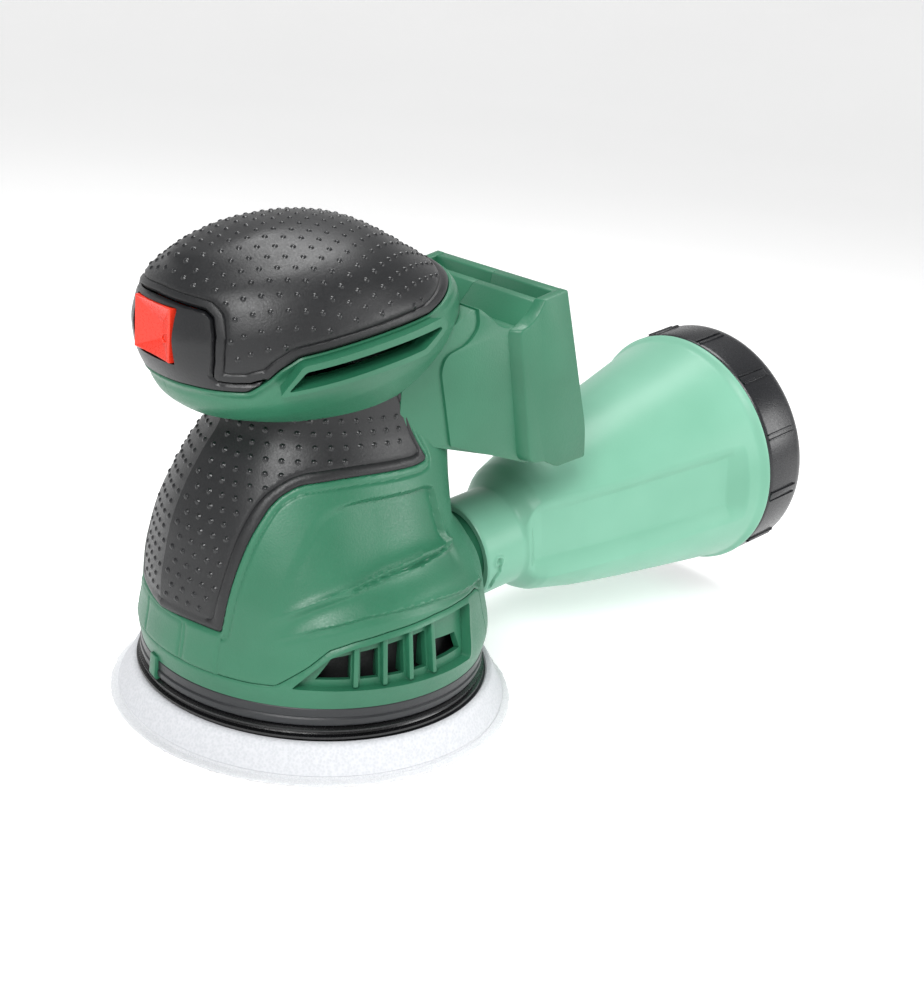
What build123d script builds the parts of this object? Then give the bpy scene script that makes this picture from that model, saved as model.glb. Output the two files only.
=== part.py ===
"""Cordless random-orbit palm sander: housing, rotor, pad, switch, dust box and filter cap."""
from build123d import *
import os
from math import cos, radians, sin

os.makedirs("parts", exist_ok=True)

# ---------------------------------------------------------------- driving dimensions (mm)
# Frame: +Z up, -X is the nose with the switch, +X is the rear, origin on the motor axis
# at the level of the abrasive face.
disc_radius = 62.5            # 125 mm abrasive disc
disc_thickness = 1.0
hook_radius = 59.8
hook_thickness = 1.0
foam_height = 5.5
foam_top_radius = 56.0
plate_thickness = 2.0
plate_top_radius = 54.6
dust_hole_count = 8
dust_hole_radius = 5.0
dust_hole_circle = 32.5       # radius of the hole circle, the common eight-hole pattern
orbit = 1.0                   # offset of the pad axis from the motor axis, half the orbit

skirt_low = 10.2              # lower lip of the brake ring
skirt_seam = 14.0             # brake ring meets the skirt ring
housing_low = 19.5            # skirt ring meets the green housing
shell_low = 25.0              # fan housing meets the two shells
body_radius = 53.6
wall = 1.6                    # plastic under the rubber
skin = 1.6                    # rubber grip thickness
running = 0.04                # radial clearance of a running fit

head_tilt = 17.0              # the palm head rises towards the rear
head_origin = (0, 0, 115.0)
belt_level = 6.3              # head level where black cover meets the green belt
foot_tilt = 17.7              # battery foot leans back from the vertical
foot_top = (61.5, 0, 128.7)   # top rear edge of the foot, in the middle
foot_half_width = 31.0
web_half_width = 28.0

box_tilt = 10.0               # the dust box rises towards the rear
box_mouth = (55.3, 0, 34.2)   # centre of the sleeve's mouth
sleeve_radius = 17.0
sleeve_bore = 14.0
sleeve_length = 17.0
shoulder_length = 7.0
shoulder_radius = 22.5
box_length = 110.0            # from the mouth to the filter cap
box_radius = 47.0
box_wall = 2.0
cap_length = 20.0
cap_radius = 50.0
cap_rear_radius = 48.0

shaft_radius = 4.0
can_radius = 19.0
can_low = 52.0
can_high = 100.0
bearing_outer = 11.0
bearing_width = 7.0
roof_low = 39.0
roof_high = 42.0

# Plan ovals of the body: height, front, rear, half width, centre (all along X but the third).
body_rows = [
    (25.0, -53.6, 53.6, 53.6, 0),
    (35.0, -52.9, 52.3, 52.4, 0),
    (45.0, -52.7, 48.9, 49.8, 0),
    (54.0, -51.6, 42.6, 45.8, 0),
    (62.0, -50.0, 37.4, 41.2, 0),
    (72.0, -46.4, 36.2, 35.9, 0),
    (82.0, -41.2, 36.2, 31.4, 0),
    (90.0, -36.4, 35.6, 28.8, 0),
    (112.0, -32.4, 34.8, 27.5, 0),
]
# Ovals of the head, on planes tilted with it.
head_rows = [
    (-14.0, -34.0, 29.0, 27.2, -5),
    (-10.0, -42.5, 32.5, 30.1, -6),
    (-5.0, -50.0, 35.2, 33.5, -7),
    (0.0, -54.0, 36.7, 35.6, -9),
    (6.3, -56.0, 36.0, 36.4, -10),
    (12.0, -56.3, 30.5, 36.0, -12),
    (18.0, -55.8, 23.3, 34.0, -14),
    (24.0, -53.6, 16.7, 30.8, -16),
    (29.0, -50.3, 10.2, 25.7, -19),
    (32.5, -46.0, 3.2, 19.8, -20),
    (35.5, -41.5, -6.2, 13.0, -22),
    (37.5, -31.0, -17.0, 4.0, -24),
]

# ---------------------------------------------------------------- frames
tilt_cos = cos(radians(head_tilt))
tilt_sin = sin(radians(head_tilt))
head_plane = Plane(origin=head_origin, x_dir=(tilt_cos, 0, tilt_sin), z_dir=(-tilt_sin, 0, tilt_cos))

foot_cos = cos(radians(foot_tilt))
foot_sin = sin(radians(foot_tilt))
foot_plane = Plane(origin=foot_top, x_dir=(0, 1, 0), z_dir=(foot_cos, 0, foot_sin))

box_cos = cos(radians(box_tilt))
box_sin = sin(radians(box_tilt))
box_axis = Axis(box_mouth, (box_cos, 0, box_sin))
box_end_plane = Plane(origin=box_mouth, x_dir=(0, 1, 0), z_dir=(box_cos, 0, box_sin))
box_profile_plane = Plane(origin=box_mouth, x_dir=(box_cos, 0, box_sin), z_dir=(0, -1, 0))

pad_axis = Axis((orbit, 0, 0), (0, 0, 1))


# ---------------------------------------------------------------- helpers
def outline(*points):
    """Fill a closed straight-sided outline in the current sketch."""
    Polygon(*points, align=None)


def stacked_form(plane, rows, inset):
    """Smooth solid through plan ovals, drawn smaller all round by the inset."""
    last = len(rows) - 1
    with BuildPart() as form:
        for index, (level, front, rear, half_width, centre) in enumerate(rows):
            drop = inset if index == last else 0
            with BuildSketch(plane.offset(level - drop)):
                with BuildLine():
                    EllipticalCenterArc(
                        (centre, 0), rear - centre - inset, half_width - inset,
                        start_angle=-90, arc_size=180)
                    EllipticalCenterArc(
                        (centre, 0), centre - front - inset, half_width - inset,
                        start_angle=90, arc_size=180)
                make_face()
        loft()
    return form.part


def extruded(plane, points, low, high):
    """Prism of an outline between two distances along the plane's normal."""
    with BuildPart() as prism:
        with BuildSketch(plane.offset(low)):
            outline(*points)
        extrude(amount=high - low)
    return prism.part


def disc(radius, low, high, centre=(0, 0)):
    """Upright round solid between two heights."""
    with BuildPart() as solid:
        with BuildSketch(Plane.XY.offset(low)):
            with Locations(centre):
                Circle(radius)
        extrude(amount=high - low)
    return solid.part


def save(piece, name):
    """Label the finished piece and write it as its own file."""
    piece.part.label = name
    export_step(piece.part, f"parts/{name}.step")


# ---------------------------------------------------------------- shared forms
side_plane = Plane.XZ         # local x is X, local y is Z, normal is -Y
web_profile = [(5, 84), (24, 83.5), (55, 74.5), (44, 119), (30, 121), (5, 112)]
foot_profile = [
    (50.5, 126.0), (61.5, 128.7), (79.0, 74.0), (66.0, 72.4),
    (60.7, 74.8), (53.6, 74.8), (42.2, 118.8),
]
web_hollow_profile = [(10, 88), (26, 86), (64, 78), (53, 117), (32, 117), (10, 108)]

body_outer = stacked_form(Plane.XY, body_rows, 0)
body_under_grip = stacked_form(Plane.XY, body_rows, skin)
body_hollow = stacked_form(Plane.XY, body_rows, skin + wall)
head_outer = stacked_form(head_plane, head_rows, 0)
head_under_grip = stacked_form(head_plane, head_rows, skin)
head_hollow = stacked_form(head_plane, head_rows, skin + wall)
web_solid = extruded(side_plane, web_profile, -web_half_width, web_half_width)
foot_solid = extruded(side_plane, foot_profile, -foot_half_width, foot_half_width)

# Side outline of the rubber at the waist and front, seen from the side.
waist_outline = [
    (14, 107), (15, 81), (-14, 80), (-29, 77), (-37, 68), (-42, 54), (-47, 38),
    (-62, 38), (-62, 107),
]
# Side outline of the exhaust band of the fan housing.
vent_outline = [(-39, 25), (-28, 37), (-2, 41), (18, 43.5), (30, 43.5), (33, 25)]
vent_window_edges = [(-30, -20.3), (-18.7, -12.0), (-10.4, -3.3), (-1.7, 5.1), (6.7, 24.0)]
vent_low = 28.0
vent_inner_radius = 46.0
half_depth = 80.0             # reaches past every surface of the tool

screw_places = [(-26, 60), (27, 52), (-27, 106), (22, 112), (-10, 136), (33, 96), (44, 84)]
screw_radius = 1.5
boss_radius = 4.6
screw_head_radius = 2.8
screw_seat = 18.0             # the screw heads sit this far to the right of the middle
screw_reach = 14.0            # pilot bore depth in the left shell
screw_head_height = 2.5
screw_socket_radius = 1.4

with BuildPart() as screw_bosses:
    with BuildSketch(side_plane.offset(-half_depth)):
        with Locations(*screw_places):
            Circle(boss_radius)
    extrude(amount=2 * half_depth)

with BuildPart() as outer_form:
    add(body_outer)
    add(head_outer)
    add(web_solid)
    add(foot_solid)

with BuildPart() as vent_sector:
    with BuildSketch(side_plane.offset(-half_depth)):
        outline(*vent_outline)
    extrude(amount=2 * half_depth)
    add(body_outer, mode=Mode.INTERSECT)
    add(disc(vent_inner_radius, 0, 60), mode=Mode.SUBTRACT)

with BuildPart() as spigot_hole:
    with BuildSketch(box_end_plane.offset(-12)):
        Circle(sleeve_bore - 0.4)
    extrude(amount=30)


# ---------------------------------------------------------------- housing: fan housing
window_top = 37.0             # window top at the front window's left edge
window_top_slope = 0.09       # the tops rise towards the rear
window_front = -28.0
cup_radius = 45.4
cup_inner = 42.9
band_inner = 50.0
bearing_seat_radius = 14.0
shaft_opening = shaft_radius + 1.5
port_width = 18.0
port_height = 11.0
port_level = 32.0
with BuildPart() as fan_housing:
    with BuildSketch(side_plane):
        outline(
            (band_inner, housing_low), (body_radius - 1.0, housing_low), (body_radius, shell_low),
            (cup_radius, shell_low), (cup_radius, roof_high), (bearing_seat_radius, roof_high),
            (bearing_seat_radius, roof_high + 8), (bearing_outer, roof_high + 8),
            (bearing_outer, roof_high + 1), (shaft_opening, roof_high + 1),
            (shaft_opening, roof_low), (cup_inner, roof_low),
            (cup_inner, shell_low - 2.5), (band_inner, shell_low - 2.5))
    revolve(axis=Axis.Z)
    add(spigot_hole.part, mode=Mode.SUBTRACT)
    add(vent_sector.part)
    for side in (-1, 1):
        for left, right in vent_window_edges:
            top_left = window_top + window_top_slope * (left - window_front)
            top_right = window_top + window_top_slope * (right - window_front)
            with BuildSketch(side_plane.offset(-side * 30)):
                outline((left, vent_low), (right, vent_low), (right, top_right), (left, top_left))
            extrude(amount=-side * 40, mode=Mode.SUBTRACT)
    # Port from the fan chamber into the outlet pipe.
    with BuildSketch(Plane.YZ.offset(35)):
        with Locations((0, port_level)):
            Rectangle(port_width, port_height)
    extrude(amount=14, mode=Mode.SUBTRACT)
save(fan_housing, "fan_housing")


# ---------------------------------------------------------------- housing: grips and covers
with BuildPart() as top_cap:
    add(head_outer)
    add(head_under_grip, mode=Mode.SUBTRACT)
    with BuildSketch(head_plane.offset(belt_level)):
        Rectangle(4 * half_depth, 4 * half_depth)
    extrude(amount=half_depth, mode=Mode.INTERSECT)

nose_seam = -46.5             # head station where the nose cover meets the top grip
head_side_plane = Plane(origin=head_origin, x_dir=head_plane.x_dir, z_dir=(0, -1, 0))
nose_top = 27.0
switch_half_width = 10.4
switch_window_high = 15.6
switch_level = 118.0          # middle of the switch
beyond_nose = 70.0            # clears the nose on the -X side

with BuildPart() as nose_region:
    with BuildSketch(head_side_plane.offset(-half_depth)):
        outline(
            (-beyond_nose, belt_level), (nose_seam, belt_level),
            (nose_seam, nose_top), (-beyond_nose, nose_top))
    extrude(amount=2 * half_depth)

with BuildPart() as switch_window:
    with BuildSketch(Plane.YZ.offset(-beyond_nose)):
        with Locations((0, switch_level)):
            Rectangle(2 * switch_half_width, switch_window_high)
    extrude(amount=24)

with BuildPart() as nose_cover:
    add(top_cap.part)
    add(nose_region.part, mode=Mode.INTERSECT)
    add(switch_window.part, mode=Mode.SUBTRACT)
save(nose_cover, "nose_cover")

with BuildPart() as top_grip:
    add(top_cap.part)
    add(nose_region.part, mode=Mode.SUBTRACT)
save(top_grip, "top_grip")

grips = {}
for side, name in ((1, "waist_grip_left"), (-1, "waist_grip_right")):
    with BuildPart() as waist_grip:
        with BuildSketch(side_plane):
            outline(*waist_outline)
        extrude(amount=side * half_depth)
        add(body_outer, mode=Mode.INTERSECT)
        add(body_under_grip, mode=Mode.SUBTRACT)
        add(head_outer, mode=Mode.SUBTRACT)
    save(waist_grip, name)
    grips[name] = waist_grip.part

front_cover_high = 36.5
front_cover_half = 22.0
with BuildPart() as front_cover:
    with BuildSketch(Plane.YZ.offset(-beyond_nose)):
        outline(
            (-front_cover_half, shell_low), (front_cover_half, shell_low),
            (front_cover_half, front_cover_high), (-front_cover_half, front_cover_high))
    extrude(amount=50)
    add(body_outer, mode=Mode.INTERSECT)
    add(body_under_grip, mode=Mode.SUBTRACT)
save(front_cover, "front_cover")


# ---------------------------------------------------------------- housing: shells
pocket_depth = 4.0
plate_height = 49.0
plate_width = 56.0
contact_half_width = 10.0
contact_height = 13.0
contact_level = -41.0         # below the foot's top edge, along its face
slot_outline = [(-38.5, 110.5), (-34, 115.8), (5, 121.8), (2.5, 116.8)]
slot_floor = 27.0             # the cooling slots start this far from the middle
web_wall = 2.6
plate_drop = 3.5              # rail plate below the foot's top edge
passage_depth = 30.0
groove_outline = [(55.5, 121.5), (59.0, 122.2), (59.6, 140), (54.5, 140)]
groove_half = foot_half_width - 4

with BuildPart() as shell_blank:
    add(outer_form.part)
    add(body_hollow, mode=Mode.SUBTRACT)
    add(head_hollow, mode=Mode.SUBTRACT)
    with BuildSketch(side_plane.offset(-(web_half_width - web_wall))):
        outline(*web_hollow_profile)
    extrude(amount=2 * (web_half_width - web_wall), mode=Mode.SUBTRACT)
    # Pocket that holds the rail plate.
    with BuildSketch(foot_plane.offset(-pocket_depth)):
        with Locations((0, -plate_drop - plate_height / 2)):
            Rectangle(plate_width, plate_height)
    extrude(amount=20, mode=Mode.SUBTRACT)
    # Passage for the contact block and its wires.
    with BuildSketch(foot_plane.offset(-passage_depth)):
        with Locations((0, contact_level)):
            Rectangle(2 * contact_half_width, contact_height)
    extrude(amount=passage_depth, mode=Mode.SUBTRACT)
    # Groove between the foot's rear lip and the rib in front of it.
    with BuildSketch(side_plane.offset(-groove_half)):
        outline(*groove_outline)
    extrude(amount=2 * groove_half, mode=Mode.SUBTRACT)
    # Screw bosses from wall to wall, across the parting plane.
    add(screw_bosses.part)
    add(outer_form.part, mode=Mode.INTERSECT)
    # Cooling slots under the palm grip.
    with BuildSketch(side_plane.offset(-half_depth)):
        outline(*slot_outline)
    extrude(amount=half_depth - slot_floor, mode=Mode.SUBTRACT)
    with BuildSketch(side_plane.offset(slot_floor)):
        outline(*slot_outline)
    extrude(amount=half_depth - slot_floor, mode=Mode.SUBTRACT)
    # Everything that sits in the shells' outer surface.
    add(top_cap.part, mode=Mode.SUBTRACT)
    add(grips["waist_grip_left"], mode=Mode.SUBTRACT)
    add(grips["waist_grip_right"], mode=Mode.SUBTRACT)
    add(front_cover.part, mode=Mode.SUBTRACT)
    add(vent_sector.part, mode=Mode.SUBTRACT)
    add(spigot_hole.part, mode=Mode.SUBTRACT)
    add(switch_window.part, mode=Mode.SUBTRACT)
    # Pilot bores for the screws.
    with BuildSketch(side_plane.offset(-half_depth)):
        with Locations(*screw_places):
            Circle(screw_radius)
    extrude(amount=half_depth + screw_reach, mode=Mode.SUBTRACT)
    with BuildSketch(side_plane.offset(-half_depth)):
        with Locations(*screw_places):
            Circle(screw_head_radius + 0.3)
    extrude(amount=half_depth - screw_seat, mode=Mode.SUBTRACT)

with BuildPart() as left_shell:
    add(shell_blank.part)
    split(bisect_by=Plane.XZ, keep=Keep.TOP)
save(left_shell, "left_shell")

with BuildPart() as right_shell:
    add(shell_blank.part)
    split(bisect_by=Plane.XZ, keep=Keep.BOTTOM)
save(right_shell, "right_shell")

with BuildPart() as housing_screws:
    with BuildSketch(side_plane.offset(-screw_seat)):
        with Locations(*screw_places):
            Circle(screw_radius)
    extrude(amount=screw_seat + screw_reach - 2)
    with BuildSketch(side_plane.offset(-screw_seat - screw_head_height)):
        with Locations(*screw_places):
            Circle(screw_head_radius)
            RegularPolygon(screw_socket_radius, 6, mode=Mode.SUBTRACT)
    extrude(amount=screw_head_height)
save(housing_screws, "housing_screws")


# ---------------------------------------------------------------- housing: battery interface
rail_length = 44.0
rail_lip = 2.6
rail_rise = 5.0
channel_half = 12.0
neck_half = 19.0
rail_half = 22.5
rail_drop = 4.5               # rails below the foot's top edge
stop_level = -50.5            # the stop at the foot of the rails
stop_height = 3.0
blade_places = [-6.0, 0.0, 6.0]
blade_thickness = 0.8
blade_width = 9.0
blade_slot = 2.4
block_back = -8.0
block_depth = 12.0
blade_back = -5.0
blade_length = 8.0

with BuildPart() as battery_rail_plate:
    with BuildSketch(foot_plane.offset(-pocket_depth)):
        with Locations((0, -plate_drop - plate_height / 2)):
            Rectangle(plate_width, plate_height)
    extrude(amount=pocket_depth)
    with BuildSketch(foot_plane):
        with Locations((0, -rail_drop - rail_length / 2)):
            Rectangle(2 * neck_half, rail_length)
            Rectangle(2 * channel_half, rail_length, mode=Mode.SUBTRACT)
    extrude(amount=rail_rise)
    with BuildSketch(foot_plane.offset(rail_lip)):
        with Locations((0, -rail_drop - rail_length / 2)):
            Rectangle(2 * rail_half, rail_length)
            Rectangle(2 * channel_half, rail_length, mode=Mode.SUBTRACT)
    extrude(amount=rail_rise - rail_lip)
    with BuildSketch(foot_plane):
        with Locations((0, stop_level)):
            Rectangle(2 * rail_half, stop_height)
    extrude(amount=rail_rise)
    with BuildSketch(foot_plane.offset(-pocket_depth)):
        with Locations((0, contact_level)):
            Rectangle(2 * contact_half_width, contact_height)
    extrude(amount=rail_rise + pocket_depth, mode=Mode.SUBTRACT)
save(battery_rail_plate, "battery_rail_plate")

with BuildPart() as contact_block:
    with BuildSketch(foot_plane.offset(block_back)):
        with Locations((0, contact_level)):
            Rectangle(2 * contact_half_width, contact_height)
    extrude(amount=block_depth)
    with BuildSketch(foot_plane.offset(blade_back)):
        with Locations(*[(place, contact_level + 1) for place in blade_places]):
            Rectangle(blade_slot, blade_width + 2)
    extrude(amount=block_depth, mode=Mode.SUBTRACT)
save(contact_block, "contact_block")

with BuildPart() as contact_blades:
    with BuildSketch(foot_plane.offset(blade_back)):
        with Locations(*[(place, contact_level) for place in blade_places]):
            Rectangle(blade_thickness, blade_width)
    extrude(amount=blade_length)
save(contact_blades, "contact_blades")


# ---------------------------------------------------------------- housing: outlet, skirt, brake ring
spigot_radius = 13.6
spigot_bore = 11.6
spigot_length = 28.0
spigot_root = 7.0             # length inside the housing
with BuildPart() as dust_spigot:
    with BuildSketch(box_end_plane.offset(-spigot_root)):
        Circle(spigot_radius)
        Circle(spigot_bore, mode=Mode.SUBTRACT)
    extrude(amount=spigot_root + spigot_length)
save(dust_spigot, "dust_spigot")

skirt_radius = 52.4
skirt_inner = 48.0
brake_lip_radius = 53.7
brake_inner = 47.0
with BuildPart() as skirt_ring:
    with BuildSketch(side_plane):
        outline(
            (skirt_inner, skirt_seam), (skirt_radius, skirt_seam), (skirt_radius + 0.2, housing_low),
            (band_inner, housing_low), (band_inner, housing_low + 3.0),
            (skirt_inner, housing_low + 3.0))
    revolve(axis=Axis.Z)
    add(spigot_hole.part, mode=Mode.SUBTRACT)
save(skirt_ring, "skirt_ring")

with BuildPart() as brake_ring:
    with BuildSketch(side_plane):
        outline(
            (brake_inner, skirt_low + 0.6), (brake_lip_radius, skirt_low),
            (brake_lip_radius, skirt_low + 1.2), (skirt_radius, skirt_seam),
            (brake_inner, skirt_seam))
    revolve(axis=Axis.Z)
save(brake_ring, "brake_ring")


# ---------------------------------------------------------------- housing: motor
can_wall = 1.5
with BuildPart() as motor_can:
    with BuildSketch(side_plane):
        outline(
            (bearing_outer + 1, can_low), (can_radius, can_low), (can_radius, can_high),
            (can_radius - can_wall, can_high), (can_radius - can_wall, can_low + can_wall),
            (bearing_outer + 1, can_low + can_wall))
    revolve(axis=Axis.Z)
save(motor_can, "motor_can")

magnet_inner = 14.2
magnet_gap = 5.0
magnet_low = can_low + 6.0
magnet_length = 32.0
with BuildPart() as motor_magnets:
    with BuildSketch(Plane.XY.offset(magnet_low)):
        Circle(can_radius - can_wall)
        Circle(magnet_inner, mode=Mode.SUBTRACT)
        Rectangle(2 * can_radius, 2 * magnet_gap, mode=Mode.SUBTRACT)
    extrude(amount=magnet_length)
save(motor_magnets, "motor_magnets")

end_cap_high = can_high + 6
upper_bearing_outer = 9.5
upper_bearing_width = 5.0
with BuildPart() as motor_end_cap:
    with BuildSketch(side_plane):
        outline(
            (shaft_radius + 1, can_high), (can_radius, can_high), (can_radius, can_high + 3),
            (upper_bearing_outer + 2.5, end_cap_high), (upper_bearing_outer, end_cap_high),
            (upper_bearing_outer, can_high + 1), (shaft_radius + 1, can_high + 1))
    revolve(axis=Axis.Z)
save(motor_end_cap, "motor_end_cap")

with BuildPart() as upper_bearing:
    with BuildSketch(Plane.XY.offset(can_high + 1)):
        Circle(upper_bearing_outer)
        Circle(shaft_radius + running, mode=Mode.SUBTRACT)
    extrude(amount=upper_bearing_width)
save(upper_bearing, "upper_bearing")

with BuildPart() as lower_bearing:
    with BuildSketch(Plane.XY.offset(roof_high + 1)):
        Circle(bearing_outer)
        Circle(shaft_radius + running, mode=Mode.SUBTRACT)
    extrude(amount=bearing_width)
save(lower_bearing, "lower_bearing")

commutator_radius = 6.5
brush_gap = 0.3
brush_length = 9.9
brush_level = can_high - 9
brush_width = 4.0
brush_height = 5.0
with BuildPart() as brushes:
    for side in (-1, 1):
        with BuildSketch(Plane.YZ.offset(side * (commutator_radius + brush_gap))):
            with Locations((0, brush_level)):
                Rectangle(brush_width, brush_height)
        extrude(amount=side * brush_length)
save(brushes, "brushes")

board_low = 118.0
board_thickness = 1.6
board_middle = -6.0
component_height = 6.0
with BuildPart() as circuit_board:
    with BuildSketch(Plane.XY.offset(board_low)):
        with Locations((board_middle, 0)):
            Rectangle(44, 32)
    extrude(amount=board_thickness)
    with BuildSketch(Plane.XY.offset(board_low + board_thickness)):
        with Locations((-18, 6), (-6, -7)):
            Rectangle(10, 8)
        with Locations((8, 6)):
            Circle(4)
    extrude(amount=component_height)
save(circuit_board, "circuit_board")

rocker_pivot_x = -50.5
rocker_pin_radius = 1.2
ear_low = 108.2
ear_high = 126.0
ear_thickness = 1.8
ear_tip = rocker_pivot_x - 1.9
ear_root = -44.0
ear_half_width = 4.0
module_middle = -39.0
module_length = 13.0
module_width = 16.0
module_low = 111.0
module_height = 14.0
plunger_radius = 1.2
plunger_spread = 5.0
plunger_rise = 1.4
with BuildPart() as switch_module:
    with BuildSketch(Plane.XY.offset(module_low)):
        with Locations((module_middle, 0)):
            Rectangle(module_length, module_width)
    extrude(amount=module_height)
    with BuildSketch(Plane.YZ.offset(module_middle - module_length / 2)):
        with Locations((-plunger_spread, switch_level), (plunger_spread, switch_level)):
            Circle(plunger_radius)
    extrude(amount=-plunger_rise)
    # Ears that hold the rocker's pivot pin, on a web behind the rocker.
    with BuildSketch(side_plane.offset(-ear_half_width)):
        outline(
            (ear_tip, ear_low), (-40, ear_low), (-40, ear_high + ear_thickness),
            (ear_tip, ear_high + ear_thickness), (ear_tip, ear_high), (ear_root, ear_high),
            (ear_root, ear_low + ear_thickness), (ear_tip, ear_low + ear_thickness))
    extrude(amount=2 * ear_half_width)
    add(
        disc(rocker_pin_radius + running, ear_low - 1, ear_high + 3, (rocker_pivot_x, 0)),
        mode=Mode.SUBTRACT)
save(switch_module, "switch_module")

lead_places = [(-15.6, 0), (15.6, 0)]
lead_low = 105.0
lead_radius = 1.0
with BuildPart() as motor_leads:
    with BuildSketch(Plane.XY.offset(lead_low)):
        with Locations(*lead_places):
            Circle(lead_radius)
    extrude(amount=board_low - lead_low)
save(motor_leads, "motor_leads")


# ---------------------------------------------------------------- rotor
shaft_low = 22.0
with BuildPart() as motor_shaft:
    with BuildSketch(Plane.XY.offset(shaft_low)):
        Circle(shaft_radius)
    extrude(amount=end_cap_high - shaft_low)
save(motor_shaft, "motor_shaft")

armature_radius = 13.4
slot_count = 9
armature_low = can_low + 8.0
armature_length = 26.0
with BuildPart() as armature:
    with BuildSketch(Plane.XY.offset(armature_low)):
        Circle(armature_radius)
        Circle(shaft_radius, mode=Mode.SUBTRACT)
        with PolarLocations(armature_radius - 1.5, slot_count):
            Rectangle(5, 2, mode=Mode.SUBTRACT)
    extrude(amount=armature_length)
save(armature, "armature")

commutator_low = can_high - 13.0
commutator_length = 9.0
with BuildPart() as commutator:
    with BuildSketch(Plane.XY.offset(commutator_low)):
        Circle(commutator_radius)
        Circle(shaft_radius, mode=Mode.SUBTRACT)
    extrude(amount=commutator_length)
save(commutator, "commutator")

fan_radius = 40.0
fan_low = 26.5
blade_count = 12
fan_plate = 1.6
fan_hub_radius = 8.0
fan_hub_height = 11.0
fan_blade_height = 9.0
with BuildPart() as fan:
    with BuildSketch(Plane.XY.offset(fan_low)):
        Circle(fan_radius)
        Circle(shaft_radius, mode=Mode.SUBTRACT)
    extrude(amount=fan_plate)
    with BuildSketch(Plane.XY.offset(fan_low)):
        Circle(fan_hub_radius)
        Circle(shaft_radius, mode=Mode.SUBTRACT)
    extrude(amount=fan_hub_height)
    with BuildSketch(Plane.XY.offset(fan_low)):
        with PolarLocations(26, blade_count, start_angle=12):
            Rectangle(24, 1.4)
    extrude(amount=fan_blade_height)
save(fan, "fan")

carrier_low = 13.6
carrier_high = 26.5
spindle_bearing_outer = 14.0
spindle_bearing_low = 14.4
spindle_bearing_high = 21.4
carrier_radius = 17.0
counterweight_radius = 32.0
counterweight_low = 18.0
spindle_radius = 6.0
with BuildPart() as eccentric_carrier:
    with BuildSketch(Plane.XY.offset(carrier_low)):
        with Locations((orbit, 0)):
            Circle(carrier_radius)
            Circle(spindle_bearing_outer, mode=Mode.SUBTRACT)
    extrude(amount=spindle_bearing_high - carrier_low)
    with BuildSketch(Plane.XY.offset(spindle_bearing_high)):
        with Locations((orbit, 0)):
            Circle(carrier_radius)
    extrude(amount=carrier_high - spindle_bearing_high)
    # Counterweight on the side away from the orbit.
    with BuildSketch(Plane.XY.offset(counterweight_low)):
        Circle(counterweight_radius)
        Circle(carrier_radius - 0.5, mode=Mode.SUBTRACT)
        with Locations((20, 0)):
            Rectangle(50, 80, mode=Mode.SUBTRACT)
    extrude(amount=carrier_high - counterweight_low)
    add(disc(shaft_radius, shaft_low, carrier_high + 3), mode=Mode.SUBTRACT)
save(eccentric_carrier, "eccentric_carrier")

with BuildPart() as spindle_bearing:
    with BuildSketch(Plane.XY.offset(spindle_bearing_low)):
        with Locations((orbit, 0)):
            Circle(spindle_bearing_outer)
            Circle(spindle_radius + running, mode=Mode.SUBTRACT)
    extrude(amount=spindle_bearing_high - spindle_bearing_low)
save(spindle_bearing, "spindle_bearing")


# ---------------------------------------------------------------- pad (all on the offset axis)
foam_low = disc_thickness + hook_thickness
foam_high = foam_low + foam_height
plate_high = foam_high + plate_thickness
centre_hole = 6.0
boss_top = 11.4               # raised middle of the pad plate
plate_boss_radius = 11.0
screw_clearance = 2.6
spindle_flange_radius = 9.0
spindle_flange_high = 13.2
pad_screw_radius = 2.5
pad_screw_head = 5.0
pad_screw_high = 18.5
pad_screw_head_height = 3.0
pad_screw_socket = 2.3


def pad_layer(low, high, low_radius, high_radius):
    """Layer of the pad with the dust holes through it and an opening for the centre screw."""
    with BuildPart() as layer:
        with BuildSketch(side_plane):
            outline(
                (orbit, low), (orbit + low_radius, low), (orbit + high_radius, high), (orbit, high))
        revolve(axis=pad_axis)
        with BuildSketch(Plane.XY.offset(low)):
            with Locations((orbit, 0)):
                with PolarLocations(dust_hole_circle, dust_hole_count):
                    Circle(dust_hole_radius)
        extrude(amount=high - low, mode=Mode.SUBTRACT)
    return layer.part


abrasive_part = pad_layer(0, disc_thickness, disc_radius, disc_radius)
hook_part = pad_layer(disc_thickness, foam_low, hook_radius, hook_radius)
foam_part = pad_layer(foam_low, foam_high, hook_radius - 0.2, foam_top_radius)
plate_part = pad_layer(foam_high, plate_high, foam_top_radius, plate_top_radius)

with BuildPart() as sanding_disc:
    add(abrasive_part)
save(sanding_disc, "sanding_disc")

with BuildPart() as hook_face:
    add(hook_part)
    add(disc(centre_hole, 0, foam_high, (orbit, 0)), mode=Mode.SUBTRACT)
save(hook_face, "hook_face")

with BuildPart() as pad_foam:
    add(foam_part)
    add(disc(centre_hole, 0, plate_high, (orbit, 0)), mode=Mode.SUBTRACT)
save(pad_foam, "pad_foam")

with BuildPart() as pad_plate:
    add(plate_part)
    add(disc(plate_boss_radius, foam_high, boss_top, (orbit, 0)))
    add(disc(screw_clearance, 0, boss_top + 1, (orbit, 0)), mode=Mode.SUBTRACT)
save(pad_plate, "pad_plate")

with BuildPart() as spindle:
    add(disc(spindle_flange_radius, boss_top, spindle_flange_high, (orbit, 0)))
    add(disc(spindle_radius, spindle_flange_high, spindle_bearing_high, (orbit, 0)))
    add(disc(pad_screw_radius, boss_top - 1, pad_screw_high + 0.5, (orbit, 0)), mode=Mode.SUBTRACT)
save(spindle, "spindle")

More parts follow.
